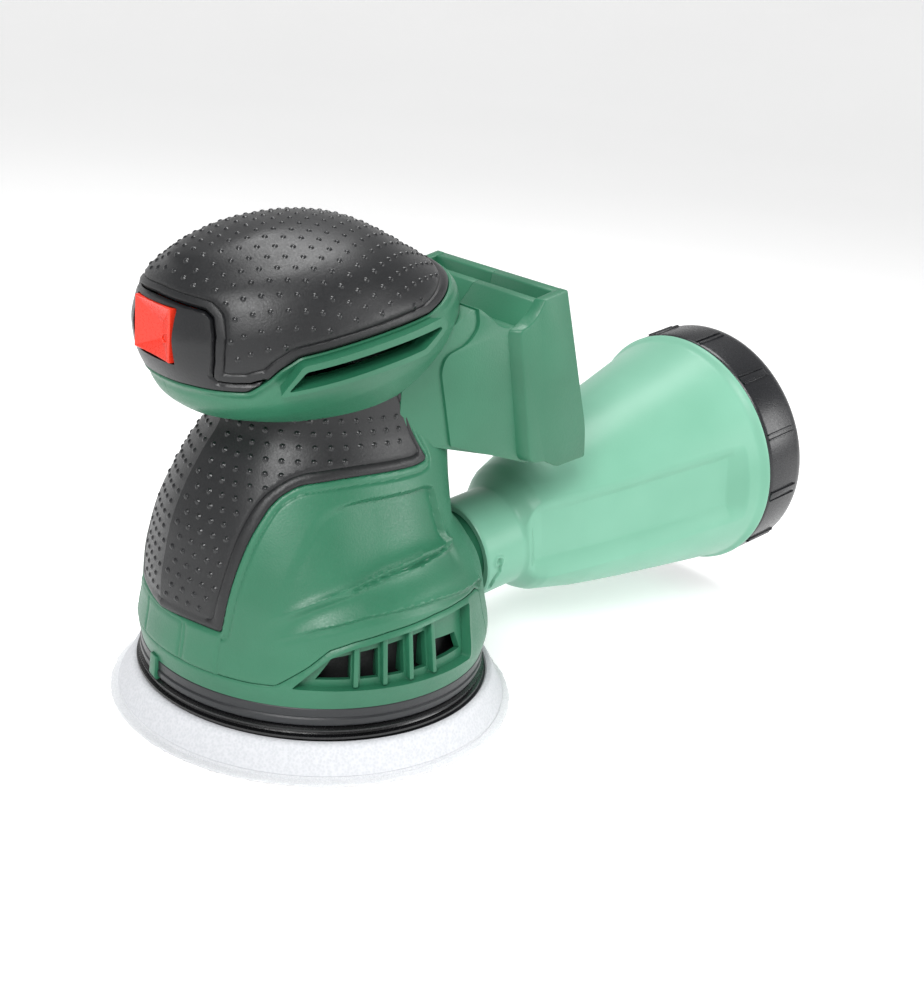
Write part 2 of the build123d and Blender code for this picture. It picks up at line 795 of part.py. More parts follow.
with BuildPart() as pad_screw:
    add(disc(pad_screw_radius, foam_high, pad_screw_high, (orbit, 0)))
    add(disc(pad_screw_head, foam_high - pad_screw_head_height, foam_high, (orbit, 0)))
    with BuildSketch(Plane.XY.offset(foam_high - pad_screw_head_height)):
        with Locations((orbit, 0)):
            RegularPolygon(pad_screw_socket, 6)
    extrude(amount=2, mode=Mode.SUBTRACT)
save(pad_screw, "pad_screw")


# ---------------------------------------------------------------- switch rocker
rocker_half_width = 9.2
rocker_low = 110.7
rocker_high = 125.3
rocker_rim = -58.2
rocker_crease = -56.4
rocker_back = -49.5
with BuildPart() as switch_rocker:
    with BuildSketch(Plane.XY.offset(rocker_low)):
        outline(
            (rocker_rim, -rocker_half_width), (rocker_crease, 0), (rocker_rim, rocker_half_width),
            (rocker_back, rocker_half_width), (rocker_back + 1.3, 0),
            (rocker_back, -rocker_half_width))
    extrude(amount=rocker_high - rocker_low)
    add(disc(rocker_pin_radius, ear_low + 0.6, ear_high + ear_thickness - 0.6, (rocker_pivot_x, 0)))
save(switch_rocker, "switch_rocker")


# ---------------------------------------------------------------- dust box
shoulder_end = sleeve_length + shoulder_length
box_end = box_length + 6.0    # the box reaches into the filter cap
with BuildPart() as dust_box_shell:
    with BuildSketch(box_profile_plane):
        outline(
            (0, sleeve_bore), (0, sleeve_radius), (sleeve_length, sleeve_radius),
            (shoulder_end, shoulder_radius), (box_length, box_radius), (box_end, box_radius),
            (box_end, box_radius - box_wall), (box_length, box_radius - box_wall),
            (shoulder_end + 1, shoulder_radius - box_wall), (sleeve_length + 1.5, sleeve_bore))
    revolve(axis=box_axis)
save(dust_box_shell, "dust_box_shell")

seal_low = 12.0
seal_width = 4.0
with BuildPart() as sleeve_seal:
    with BuildSketch(box_end_plane.offset(seal_low)):
        Circle(sleeve_bore)
        Circle(spigot_radius + 0.1, mode=Mode.SUBTRACT)
    extrude(amount=seal_width)
save(sleeve_seal, "sleeve_seal")


# ---------------------------------------------------------------- filter cap
cap_end = box_length + cap_length
grille_radius = 38.0
grille_low = cap_end - 3.0
grille_thickness = 2.4
grille_rings = [36.5, 28.5, 20.5, 12.5]
grille_ring_half = 1.8
spoke_count = 8
with BuildPart() as filter_cap:
    with BuildSketch(box_profile_plane):
        outline(
            (box_length, box_radius + 0.6), (box_length, cap_radius), (cap_end - 4, cap_radius),
            (cap_end, cap_rear_radius), (cap_end, grille_radius), (grille_low, grille_radius),
            (grille_low, box_radius - 2), (box_end + 0.8, box_radius - 2),
            (box_end + 0.8, box_radius + 0.6))
    revolve(axis=box_axis)
    with BuildSketch(box_end_plane.offset(grille_low)):
        for ring_radius in grille_rings:
            Circle(ring_radius + grille_ring_half)
            Circle(ring_radius - grille_ring_half, mode=Mode.SUBTRACT)
        with PolarLocations(24, spoke_count):
            Rectangle(30, 2.4)
    extrude(amount=grille_thickness)
save(filter_cap, "filter_cap")

filter_low = 84.0
filter_high = grille_low - 2.0
filter_outer = 30.0
filter_inner = 24.0
pleat_count = 28
frame_plate = 2.0
frame_inner = filter_inner - 3.0
frame_window = 10.0
with BuildPart() as filter_frame:
    with BuildSketch(box_end_plane.offset(filter_low - frame_plate)):
        Circle(filter_outer + 1)
    extrude(amount=frame_plate)
    with BuildSketch(box_end_plane.offset(filter_high)):
        Circle(box_radius - box_wall - 0.4)
        Circle(frame_inner, mode=Mode.SUBTRACT)
    extrude(amount=frame_plate)
    with BuildSketch(box_end_plane.offset(filter_low)):
        Circle(filter_inner - 1)
        Circle(frame_inner, mode=Mode.SUBTRACT)
        for turn in (0, 60, 120):
            Rectangle(2 * filter_inner, frame_window, rotation=turn, mode=Mode.SUBTRACT)
    extrude(amount=filter_high - filter_low)
save(filter_frame, "filter_frame")

pleat_points = []
for index in range(2 * pleat_count):
    pleat_radius = filter_outer if index % 2 == 0 else filter_inner
    pleat_angle = radians(180 * index / pleat_count)
    pleat_points.append((pleat_radius * cos(pleat_angle), pleat_radius * sin(pleat_angle)))

with BuildPart() as pleated_filter:
    with BuildSketch(box_end_plane.offset(filter_low)):
        outline(*pleat_points)
        Circle(filter_inner - 1, mode=Mode.SUBTRACT)
    extrude(amount=filter_high - filter_low)
save(pleated_filter, "pleated_filter")

with BuildPart() as cap_seal:
    with BuildSketch(box_end_plane.offset(box_end + 0.2)):
        Circle(box_radius)
        Circle(box_radius - box_wall, mode=Mode.SUBTRACT)
    extrude(amount=0.6)
save(cap_seal, "cap_seal")
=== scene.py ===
"""Looks of a cordless random-orbit palm sander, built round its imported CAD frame."""
import math

import bmesh
import bpy
import numpy as np
from mathutils import Matrix, Vector, geometry
from mathutils.kdtree import KDTree


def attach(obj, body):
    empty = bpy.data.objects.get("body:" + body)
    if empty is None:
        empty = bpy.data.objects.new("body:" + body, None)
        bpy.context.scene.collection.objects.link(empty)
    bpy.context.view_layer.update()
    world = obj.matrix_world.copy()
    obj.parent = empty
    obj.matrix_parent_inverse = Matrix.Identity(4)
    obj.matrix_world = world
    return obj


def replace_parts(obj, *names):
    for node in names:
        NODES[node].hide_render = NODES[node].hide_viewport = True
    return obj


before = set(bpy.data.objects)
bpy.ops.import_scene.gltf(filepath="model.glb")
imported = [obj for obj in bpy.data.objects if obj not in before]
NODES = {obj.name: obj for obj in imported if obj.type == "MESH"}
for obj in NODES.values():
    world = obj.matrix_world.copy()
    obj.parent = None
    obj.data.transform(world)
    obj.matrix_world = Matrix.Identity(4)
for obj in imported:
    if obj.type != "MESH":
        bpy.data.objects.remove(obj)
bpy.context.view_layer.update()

MM = 0.001
PI = math.pi


# ================================================================ materials
def new_material(name):
    material = bpy.data.materials.new(name)
    material.use_nodes = True
    tree = material.node_tree
    return material, tree, tree.nodes["Principled BSDF"]


def srgb(r, g, b):
    """Linear colour from 0-255 screen values."""
    def line(c):
        c /= 255
        return c / 12.92 if c <= 0.04045 else ((c + 0.055) / 1.055) ** 2.4
    return (line(r), line(g), line(b), 1)


def noise(tree, scale, detail, coordinate, rough=0.5):
    node = tree.nodes.new("ShaderNodeTexNoise")
    node.inputs["Scale"].default_value = scale
    node.inputs["Detail"].default_value = detail
    node.inputs["Roughness"].default_value = rough
    tree.links.new(coordinate, node.inputs["Vector"])
    return node


def ramp(tree, source, low, high, at=(0.3, 0.7)):
    node = tree.nodes.new("ShaderNodeMapRange")
    node.inputs["From Min"].default_value = at[0]
    node.inputs["From Max"].default_value = at[1]
    node.inputs["To Min"].default_value = low
    node.inputs["To Max"].default_value = high
    tree.links.new(source, node.inputs["Value"])
    return node.outputs["Result"]


def tinted(tree, source, dark, light, at=(0.3, 0.7)):
    node = tree.nodes.new("ShaderNodeMix")
    node.data_type = "RGBA"
    node.inputs[6].default_value = dark
    node.inputs[7].default_value = light
    tree.links.new(ramp(tree, source, 0, 1, at), node.inputs[0])
    return node.outputs[2]


def bumped(tree, shader, height, distance, strength=1.0):
    node = tree.nodes.new("ShaderNodeBump")
    node.inputs["Distance"].default_value = distance
    node.inputs["Strength"].default_value = strength
    tree.links.new(height, node.inputs["Height"])
    tree.links.new(node.outputs["Normal"], shader.inputs["Normal"])


def moulded(name, dark, light, rough, grain=1400, depth=0.00004, metal=0.0, coat=0.0, subsurface=0.0):
    """Moulded plastic or rubber: fine spark-eroded grain, slight cloudiness, uneven gloss."""
    material, tree, shader = new_material(name)
    place = tree.nodes.new("ShaderNodeTexCoord").outputs["Object"]
    cloud = noise(tree, 38, 3, place)
    fine = noise(tree, grain, 2, place, 0.6)
    tree.links.new(tinted(tree, cloud.outputs["Fac"], dark, light), shader.inputs["Base Color"])
    tree.links.new(ramp(tree, fine.outputs["Fac"], rough[0], rough[1]), shader.inputs["Roughness"])
    shader.inputs["Metallic"].default_value = metal
    shader.inputs["Coat Weight"].default_value = coat
    shader.inputs["Subsurface Weight"].default_value = subsurface
    bumped(tree, shader, fine.outputs["Fac"], depth)
    return material


def frosted(name, dark, light, clear):
    """Translucent frosted plastic."""
    material, tree, shader = new_material(name)
    place = tree.nodes.new("ShaderNodeTexCoord").outputs["Object"]
    cloud = noise(tree, 22, 3, place)
    fine = noise(tree, 1500, 2, place, 0.6)
    tree.links.new(tinted(tree, cloud.outputs["Fac"], dark, light), shader.inputs["Base Color"])
    tree.links.new(ramp(tree, fine.outputs["Fac"], 0.3, 0.42), shader.inputs["Roughness"])
    shader.inputs["Transmission Weight"].default_value = clear
    shader.inputs["IOR"].default_value = 1.2
    shader.inputs["Coat Weight"].default_value = 0.25
    shader.inputs["Coat Roughness"].default_value = 0.3
    bumped(tree, shader, fine.outputs["Fac"], 0.00003)
    return material


def brushed(name, colour, rough, stretch):
    """Turned or drawn metal: fine lines along one direction."""
    material, tree, shader = new_material(name)
    place = tree.nodes.new("ShaderNodeTexCoord").outputs["Object"]
    mapping = tree.nodes.new("ShaderNodeMapping")
    mapping.inputs["Scale"].default_value = stretch
    tree.links.new(place, mapping.inputs["Vector"])
    lines = noise(tree, 900, 3, mapping.outputs["Vector"])
    darker = tuple(c * 0.7 for c in colour[:3]) + (1,)
    tree.links.new(tinted(tree, lines.outputs["Fac"], darker, colour), shader.inputs["Base Color"])
    gloss = ramp(tree, lines.outputs["Fac"], rough * 0.7, rough * 1.3)
    tree.links.new(gloss, shader.inputs["Roughness"])
    shader.inputs["Metallic"].default_value = 1.0
    bumped(tree, shader, lines.outputs["Fac"], 0.00002)
    return material


def woolly(name, dark, light):
    """White hook-and-loop fleece."""
    material, tree, shader = new_material(name)
    place = tree.nodes.new("ShaderNodeTexCoord").outputs["Object"]
    fine = noise(tree, 2600, 4, place, 0.7)
    tree.links.new(tinted(tree, fine.outputs["Fac"], dark, light), shader.inputs["Base Color"])
    shader.inputs["Roughness"].default_value = 0.9
    shader.inputs["Sheen Weight"].default_value = 0.4
    bumped(tree, shader, fine.outputs["Fac"], 0.00025)
    return material


def gritty(name, dark, light):
    """Abrasive grains on their backing."""
    material, tree, shader = new_material(name)
    place = tree.nodes.new("ShaderNodeTexCoord").outputs["Object"]
    cells = tree.nodes.new("ShaderNodeTexVoronoi")
    cells.inputs["Scale"].default_value = 1900
    tree.links.new(place, cells.inputs["Vector"])
    tree.links.new(tinted(tree, cells.outputs["Distance"], light, dark), shader.inputs["Base Color"])
    shader.inputs["Roughness"].default_value = 0.75
    bumped(tree, shader, cells.outputs["Distance"], 0.0002)
    return material


def cellular(name, dark, light):
    """Closed-cell foam."""
    material, tree, shader = new_material(name)
    place = tree.nodes.new("ShaderNodeTexCoord").outputs["Object"]
    cells = tree.nodes.new("ShaderNodeTexVoronoi")
    cells.inputs["Scale"].default_value = 1200
    tree.links.new(place, cells.inputs["Vector"])
    tree.links.new(tinted(tree, cells.outputs["Distance"], dark, light), shader.inputs["Base Color"])
    shader.inputs["Roughness"].default_value = 0.85
    bumped(tree, shader, cells.outputs["Distance"], 0.00015)
    return material


GREEN = moulded("green_plastic", srgb(34, 97, 70), srgb(42, 107, 79), (0.34, 0.46), 1500, 0.00005)
RUBBER = moulded("grip_rubber", srgb(13, 14, 16), srgb(19, 20, 22), (0.36, 0.48), 1700, 0.00005)
DOT = moulded("grip_dots", srgb(18, 19, 21), srgb(26, 27, 29), (0.24, 0.34), 1700, 0.00002)
BLACK = moulded("black_plastic", srgb(14, 15, 17), srgb(20, 21, 24), (0.3, 0.42), 1500, 0.00004)
SATIN = moulded("cap_plastic", srgb(20, 21, 24), srgb(27, 28, 31), (0.24, 0.34), 1300, 0.00003)
GREY = moulded("skirt_plastic", srgb(26, 28, 31), srgb(33, 35, 38), (0.34, 0.46), 1500, 0.00004)
GLOSSY = moulded("brake_rubber", srgb(12, 12, 13), srgb(18, 18, 20), (0.2, 0.3), 1200, 0.00003)
# Near-black for the liner cup inside the fan housing: painted shade of the hollow interior seen through
# the exhaust windows.
INSIDE_SHADE = moulded("painted_shade_inside", srgb(10, 12, 12), srgb(16, 18, 18), (0.6, 0.75))
RED = moulded("switch_red", srgb(214, 44, 26), srgb(228, 56, 34), (0.24, 0.34), 1400, 0.00003,
              subsurface=0.03)
PADPLASTIC = moulded("pad_plastic", srgb(34, 35, 38), srgb(44, 45, 48), (0.45, 0.6), 900, 0.0001)
FOAM = cellular("pad_foam", srgb(194, 196, 200), srgb(203, 204, 208))
FLEECE = woolly("hook_fabric", srgb(200, 202, 206), srgb(232, 233, 235))
GRIT = gritty("abrasive", srgb(196, 190, 184), srgb(236, 232, 226))
CLEAR = frosted("clear_green", srgb(116, 172, 147), srgb(130, 185, 161), 0.12)
STEEL = brushed("steel", (0.62, 0.63, 0.65, 1), 0.25, (1, 1, 12))
ZINC = brushed("zinc", (0.5, 0.51, 0.53, 1), 0.35, (3, 3, 3))
COPPER = brushed("copper", (0.75, 0.36, 0.2, 1), 0.3, (1, 1, 20))
MAGNET = moulded("magnet", srgb(60, 60, 64), srgb(74, 74, 78), (0.35, 0.5), 800, 0.00004, 0.5)
BOARD = moulded("board", srgb(20, 78, 52), srgb(26, 92, 60), (0.3, 0.45), 700, 0.00003, coat=0.4)
PAPER = cellular("filter_paper", srgb(206, 200, 182), srgb(228, 224, 208))
BRASS = brushed("brass", (0.72, 0.55, 0.3, 1), 0.28, (1, 1, 8))


# ================================================================ numbers and curves
def smooth_table(rows):
    """Shape-preserving cubic through the rows: the first column is the level."""
    rows = np.array(rows, float)
    x, y = rows[:, 0], rows[:, 1:]
    step = np.diff(x)[:, None]
    slope = np.diff(y, axis=0) / step
    tangent = np.zeros_like(y)
    w1, w2 = 2 * step[1:] + step[:-1], step[1:] + 2 * step[:-1]
    same = slope[:-1] * slope[1:] > 0
    a = np.where(same, slope[:-1], 1)
    b = np.where(same, slope[1:], 1)
    tangent[1:-1] = np.where(same, (w1 + w2) / (w1 / a + w2 / b), 0)
    tangent[0], tangent[-1] = slope[0], slope[-1]

    def at(level):
        q = np.clip(np.asarray(level, float), x[0], x[-1])
        i = np.clip(np.searchsorted(x, q, side="right") - 1, 0, len(x) - 2)
        t = ((q - x[i]) / step[i, 0])[..., None]
        h = step[i]
        return ((2 * t**3 - 3 * t**2 + 1) * y[i] + (t**3 - 2 * t**2 + t) * h * tangent[i]
                + (3 * t**2 - 2 * t**3) * y[i + 1] + (t**3 - t**2) * h * tangent[i + 1])
    return at


def fade(x, low, high):
    """0 below low, 1 above high, smooth between."""
    t = np.clip((np.asarray(x, float) - low) / (high - low), 0, 1)
    return t * t * (3 - 2 * t)


def resampled(points, pitch, closed=True):
    """Even points along a polyline, its own corners kept."""
    points = np.array(points, float)
    ends = np.roll(points, -1, axis=0) if closed else points[1:]
    starts = points if closed else points[:-1]
    out = []
    for a, b in zip(starts, ends):
        count = max(1, int(round(np.linalg.norm(b - a) / pitch)))
        for k in range(count):
            out.append(a + (b - a) * k / count)
    if not closed:
        out.append(points[-1])
    return np.array(out)


def rounded(points, radius, steps=5, closed=True):
    """Polyline with its corners rounded by quadratic arcs."""
    points = [np.array(p, float) for p in points]
    out = []
    last = len(points)
    for i, p in enumerate(points):
        if not closed and i in (0, last - 1):
            out.append(p)
            continue
        r = radius[i] if hasattr(radius, "__len__") else radius
        a, b = points[i - 1] - p, points[(i + 1) % last] - p
        la, lb = np.linalg.norm(a), np.linalg.norm(b)
        cut = min(r, 0.48 * la, 0.48 * lb)
        p0, p1 = p + a / la * cut, p + b / lb * cut
        for k in range(steps + 1):
            t = k / steps
            out.append((1 - t)**2 * p0 + 2 * t * (1 - t) * p + t * t * p1)
    return np.array(out)


def inside(points, outline):
    """Whether each 2-D point lies in the closed outline."""
    x, y = points[:, 0], points[:, 1]
    hit = np.zeros(len(points), bool)
    a, b = outline, np.roll(outline, -1, axis=0)
    for (x0, y0), (x1, y1) in zip(a, b):
        if y0 == y1:
            continue
        crosses = (y0 > y) != (y1 > y)
        hit ^= crosses & (x < (x1 - x0) * (y - y0) / (y1 - y0) + x0)
    return hit


def line_distance(points, line, closed=True):
    """Distance of 2-D or 3-D points to a finely sampled polyline."""
    line = resampled(line, 0.35, closed)
    tree = KDTree(len(line))
    pad = np.zeros((len(line), 3))
    pad[:, :line.shape[1]] = line
    for i, p in enumerate(pad):
        tree.insert(p, i)
    tree.balance()
    pad = np.zeros((len(points), 3))
    pad[:, :points.shape[1]] = points
    return np.array([tree.find(p)[2] for p in pad])


def signed_distance(points, outline):
    """Distance to a closed outline, positive inside."""
    d = line_distance(points, outline)
    return np.where(inside(points, resampled(outline, 5.0)), d, -d)


# ================================================================ fitted forms
HEAD_TILT = math.radians(17)
HEAD_X = np.array([math.cos(HEAD_TILT), 0, math.sin(HEAD_TILT)])
HEAD_Z = np.array([-math.sin(HEAD_TILT), 0, math.cos(HEAD_TILT)])
HEAD_O = np.array([0, 0, 115.0])
SIDE = np.array([0, 1.0, 0])

# level, front, rear, half width, fullness, centre
head_oval = smooth_table([
    (-19, -26.0, 26.0, 23.0, 2.1, -4), (-14, -34.3, 28.7, 27.2, 2.1, -5),
    (-10, -42.5, 32.5, 30.1, 2.1, -6), (-5, -50.4, 35.2, 33.5, 2.15, -7.6),
    (0, -54.1, 36.7, 35.6, 2.2, -9), (6.3, -55.5, 36.0, 36.3, 2.25, -10.3),
    (12, -56.3, 30.0, 36.0, 2.25, -12), (18, -55.8, 23.3, 34.0, 2.25, -14),
    (24, -53.6, 16.7, 30.8, 2.2, -16), (29, -50.3, 10.2, 25.7, 2.2, -18.5),
    (32.5, -45.6, 3.2, 19.3, 2.1, -20.3), (35.5, -42.8, -6.2, 12.6, 2.0, -22.3),
    (37, -35.2, -16.4, 8.1, 2.0, -23.5), (37.6, -26.0, -21.0, 2.0, 2.0, -23.7)])
body_oval = smooth_table([
    (19.5, -52.6, 52.6, 52.6, 2), (25, -53.6, 53.6, 53.6, 2), (35, -52.7, 51.5, 51.8, 2),
    (45, -52.7, 48.9, 49.6, 2), (54, -51.6, 42.4, 45.6, 2.05), (62, -50.2, 36.2, 41.0, 2.1),
    (72, -46.6, 36.1, 35.9, 2.15), (82, -41.2, 36.4, 31.3, 2.2), (90, -36.0, 35.6, 28.1, 2.2),
    (97, -33.8, 34.4, 27.1, 2.2), (108, -32.4, 34.8, 26.7, 2.2)])


def oval_radius(angle, front, rear, half, full, centre):
    c, s = np.cos(angle), np.sin(angle)
    reach = np.where(c < 0, centre - front, rear - centre)
    return (np.abs(c / reach)**full + np.abs(s / half)**full)**(-1 / full)


def head_local(angle, level):
    angle, level = np.broadcast_arrays(np.asarray(angle, float), np.asarray(level, float))
    t = head_oval(level)
    front, rear, half, full, centre = (t[..., k] for k in range(5))
    r = oval_radius(angle, front, rear, half, full, centre)
    return np.stack([centre + r * np.cos(angle), r * np.sin(angle), level], -1)


def from_head(local):
    return (HEAD_O + local[..., :1] * HEAD_X + local[..., 1:2] * SIDE + local[..., 2:3] * HEAD_Z)


def head_point(angle, level):
    return from_head(head_local(angle, level))


def body_point(azimuth, z):
    azimuth, z = np.broadcast_arrays(np.asarray(azimuth, float), np.asarray(z, float))
    t = body_oval(z)
    front, rear, half, full = (t[..., k] for k in range(4))
    r = oval_radius(azimuth, front, rear, half, full, 0)
    return np.stack([r * np.cos(azimuth), r * np.sin(azimuth), z], -1)


def normals_of(surface, s, t, step=0.02):
    """Unit normals of surface(s, t), from the cross product of its steps in s and t."""
    ds = surface(s + step, t) - surface(s - step, t)
    dt = surface(s, t + step) - surface(s, t - step)
    n = np.cross(ds, dt)
    return n / np.linalg.norm(n, axis=-1, keepdims=True)


def partial_normals(surface):
    return lambda s, t: normals_of(surface, s, t)


# ================================================================ mesh helpers
def add_piece(name, verts, faces, material, body, slot, sharp=38, scale=MM):
    mesh = bpy.data.meshes.new(name)
    mesh.from_pydata([tuple(v) for v in np.asarray(verts, float) * scale], [], [tuple(f) for f in faces])
    mesh.validate()
    mesh.update()
    work = bmesh.new()
    work.from_mesh(mesh)
    bmesh.ops.recalc_face_normals(work, faces=work.faces)
    work.to_mesh(mesh)
    work.free()
    mesh.shade_smooth()
    mesh.set_sharp_from_angle(angle=math.radians(sharp))
    obj = bpy.data.objects.new(name, mesh)
    bpy.context.scene.collection.objects.link(obj)
    obj.data.materials.append(material)
    if body:
        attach(obj, body)
    return obj


def apply_modifiers(obj):
    bpy.context.view_layer.update()
    graph = bpy.context.evaluated_depsgraph_get()
    mesh = bpy.data.meshes.new_from_object(obj.evaluated_get(graph))
    obj.modifiers.clear()
    old = obj.data
    obj.data = mesh
    bpy.data.meshes.remove(old)


def cut(obj, cutter, operation="DIFFERENCE"):
    modifier = obj.modifiers.new("cut", "BOOLEAN")
    modifier.operation = operation
    modifier.solver = "EXACT"
    modifier.object = cutter
    apply_modifiers(obj)
    data = cutter.data
    bpy.data.objects.remove(cutter)
    bpy.data.meshes.remove(data)
    obj.data.shade_smooth()
    obj.data.set_sharp_from_angle(angle=math.radians(38))


def softened(obj, width, segments=2, angle=30):
    modifier = obj.modifiers.new("edge", "BEVEL")
    modifier.width = width * MM
    modifier.segments = segments
    modifier.limit_method = "ANGLE"
    modifier.angle_limit = math.radians(angle)
    modifier.harden_normals = False
    apply_modifiers(obj)
    obj.data.shade_smooth()
    obj.data.set_sharp_from_angle(angle=math.radians(38))


def joined(parts):
    """One object from several that share a body."""
    first = parts[0]
    work = bmesh.new()
    slots = list(first.data.materials)
    for part in parts:
        for m in part.data.materials:
            if m not in slots:
                slots.append(m)
    for part in parts:
        start = len(work.faces)
        remap = [slots.index(m) for m in part.data.materials]
        work.from_mesh(part.data)
        work.faces.ensure_lookup_table()
        for face in work.faces[start:]:
            face.material_index = remap[min(face.material_index, len(remap) - 1)]
    first.data.materials.clear()
    for m in slots:
        first.data.materials.append(m)
    work.to_mesh(first.data)
    work.free()
    for part in parts[1:]:
        data = part.data
        bpy.data.objects.remove(part)
        bpy.data.meshes.remove(data)
    return first


def prism(points, low, high, to_world, crest=None):
    """Closed prism of a 2-D outline between two depths, placed by to_world(a, b, depth)."""
    n = len(points)
    crest = points if crest is None else crest
    verts = [to_world(a, b, low) for a, b in points] + [to_world(a, b, high) for a, b in crest]
    faces = [list(range(n)), list(range(2 * n - 1, n - 1, -1))]
    faces += [[i, (i + 1) % n, n + (i + 1) % n, n + i] for i in range(n)]
    return verts, faces


def prism_piece(name, points, low, high, to_world, material, body=None, slot=None, edge=0.0, crest=None):
    verts, faces = prism(points, low, high, to_world, crest)
    obj = add_piece(name, verts, faces, material, body, slot)
    if edge:
        softened(obj, edge)
    return obj


def side_on(x, z, y):
    return (x, y, z)


def grid_shell(name, outer, inner, material, body, slot, around=False):
    """Closed solid between two point grids of the same size."""
    rows, cols = outer.shape[:2]
    verts = np.concatenate([outer.reshape(-1, 3), inner.reshape(-1, 3)])
    base = rows * cols
    faces = []
    span = cols if around else cols - 1
    for i in range(rows - 1):
        for j in range(span):
            k = (j + 1) % cols
            a, b, c, d = i * cols + j, i * cols + k, (i + 1) * cols + k, (i + 1) * cols + j
            faces.append((a, b, c, d))
            faces.append((base + d, base + c, base + b, base + a))
    for j in range(span):
        k = (j + 1) % cols
        faces.append((j, base + j, base + k, k))
        e = (rows - 1) * cols
        faces.append((e + k, base + e + k, base + e + j, e + j))
    if not around:
        for i in range(rows - 1):
            a, d = i * cols, (i + 1) * cols
            faces.append((a, d, base + d, base + a))
            b, c = i * cols + cols - 1, (i + 1) * cols + cols - 1
            faces.append((c, b, base + b, base + c))
    return add_piece(name, verts, faces, material, body, slot)


def lathe(profile, count, frame_of, wobble=None):
    """Closed ring or solid from a profile of (radius, height), turned about frame_of's axis."""
    origin, x, y, z = frame_of
    n = len(profile)
    verts, faces = [], []
    for k in range(count):
        a = 2 * PI * k / count
        for j, (r, h) in enumerate(profile):
            if wobble is not None:
                r, h = wobble(a, j, r, h)
            verts.append(origin + r * math.cos(a) * x + r * math.sin(a) * y + h * z)
    for k in range(count):
        m = (k + 1) % count
        for j in range(n):
            i = (j + 1) % n
            faces.append((k * n + j, k * n + i, m * n + i, m * n + j))
    return np.array(verts), faces


UPRIGHT = (np.zeros(3), np.array([1.0, 0, 0]), np.array([0, 1.0, 0]), np.array([0, 0, 1.0]))


def patch(name, outline, surface, pitch, thickness, material, body, slot, relief=None, holes=(),
          inward=1.0, rings=(0.35, 0.9), scores=(), normal_at=None):
    """Closed plate lying on surface(s, t): a fine triangulation inside the outline."""
    loops = [resampled(outline, pitch)] + [resampled(h, pitch) for h in holes]
    points = [p for loop in loops for p in loop]
    edges = []
    start = 0
    for loop in loops:
        n = len(loop)
        edges += [(start + i, start + (i + 1) % n) for i in range(n)]
        start += n
    low, high = loops[0].min(0), loops[0].max(0)
    xs = np.arange(low[0], high[0], pitch)
    ys = np.arange(low[1], high[1], pitch * 0.866)
    field = np.array([(x + (j % 2) * pitch / 2, y) for j, y in enumerate(ys) for x in xs])
    keep = inside(field, loops[0])
    for hole in loops[1:]:
        keep &= ~inside(field, hole)
    field = field[keep]
    distance = np.full(len(field), 1e9)
    for loop in loops:
        distance = np.minimum(distance, line_distance(field, loop))
    extra = []
    last_ring = rings[-1] if rings else 0
    field = field[distance > last_ring + 0.45 * pitch]
    for line in scores:
        line = resampled(line, 0.75 * pitch, closed=False)
        field = field[line_distance(field, line, closed=False) > 0.95]
        along = np.gradient(line, axis=0)
        across = np.stack([-along[:, 1], along[:, 0]], 1)
        across /= np.maximum(np.linalg.norm(across, axis=1, keepdims=True), 1e-9)
        for offset in (-0.5, 0.0, 0.5):
            row = line + offset * across
            ok = inside(row, loops[0])
            for hole in loops[1:]:
                ok &= ~inside(row, hole)
            row = row[ok]
            if len(row):
                away = np.full(len(row), 1e9)
                for loop in loops:
                    away = np.minimum(away, line_distance(row, loop))
                extra.append(row[away > last_ring + 0.25])
    for index, loop in enumerate(loops):
        ahead, behind = np.roll(loop, -1, 0), np.roll(loop, 1, 0)
        along = ahead - behind
        side = np.stack([-along[:, 1], along[:, 0]], 1)
        side /= np.maximum(np.linalg.norm(side, axis=1, keepdims=True), 1e-9)
        probe = loop + 0.05 * side
        ok = inside(probe, loops[0])
        for hole in loops[1:]:
            ok &= ~inside(probe, hole)
        side = np.where(ok.mean() > 0.5, side, -side)
        for depth in rings:
            ring = loop + depth * side
            ok = inside(ring, loops[0])
            for hole in loops[1:]:
                ok &= ~inside(ring, hole)
            ring = ring[ok]
            d = np.full(len(ring), 1e9)
            for other in loops:
                d = np.minimum(d, line_distance(ring, other))
            extra.append(ring[d > depth * 0.8])
    field = np.concatenate([field] + extra) if extra else field
    cloud = [Vector(p) for p in points] + [Vector(p) for p in field]
    made = geometry.delaunay_2d_cdt(cloud, edges, [], 0, 1e-5)
    flat = np.array([tuple(v) for v in made[0]])
    tris = [tuple(f) for f in made[2]]
    centre = np.array([flat[list(f)].mean(0) for f in tris])
    keep = inside(centre, loops[0])
    for hole in loops[1:]:
        keep &= ~inside(centre, hole)
    tris = [f for f, k in zip(tris, keep) if k]
    s, t = flat[:, 0], flat[:, 1]
    base = surface(s, t)
    normal = (normal_at or partial_normals(surface))(s, t) * inward
    lift = relief(flat, base) if relief else np.zeros(len(flat))
    top = base + normal * lift[:, None]
    under = base - normal * thickness
    n = len(flat)
    faces = list(tris) + [(c + n, b + n, a + n) for a, b, c in tris]
    seen = {}
    for a, b, c in tris:
        for e in ((a, b), (b, c), (c, a)):
            seen[e] = True
    rim = [e for e in seen if (e[1], e[0]) not in seen]
    faces += [(b, a, a + n, b + n) for a, b in rim]
    verts = np.concatenate([top, under])
    used = np.unique(np.array([i for f in faces for i in f]))
    index = np.full(len(verts), -1)
    index[used] = np.arange(len(used))
    faces = [tuple(index[list(f)]) for f in faces]
    return add_piece(name, verts[used], faces, material, body, slot)


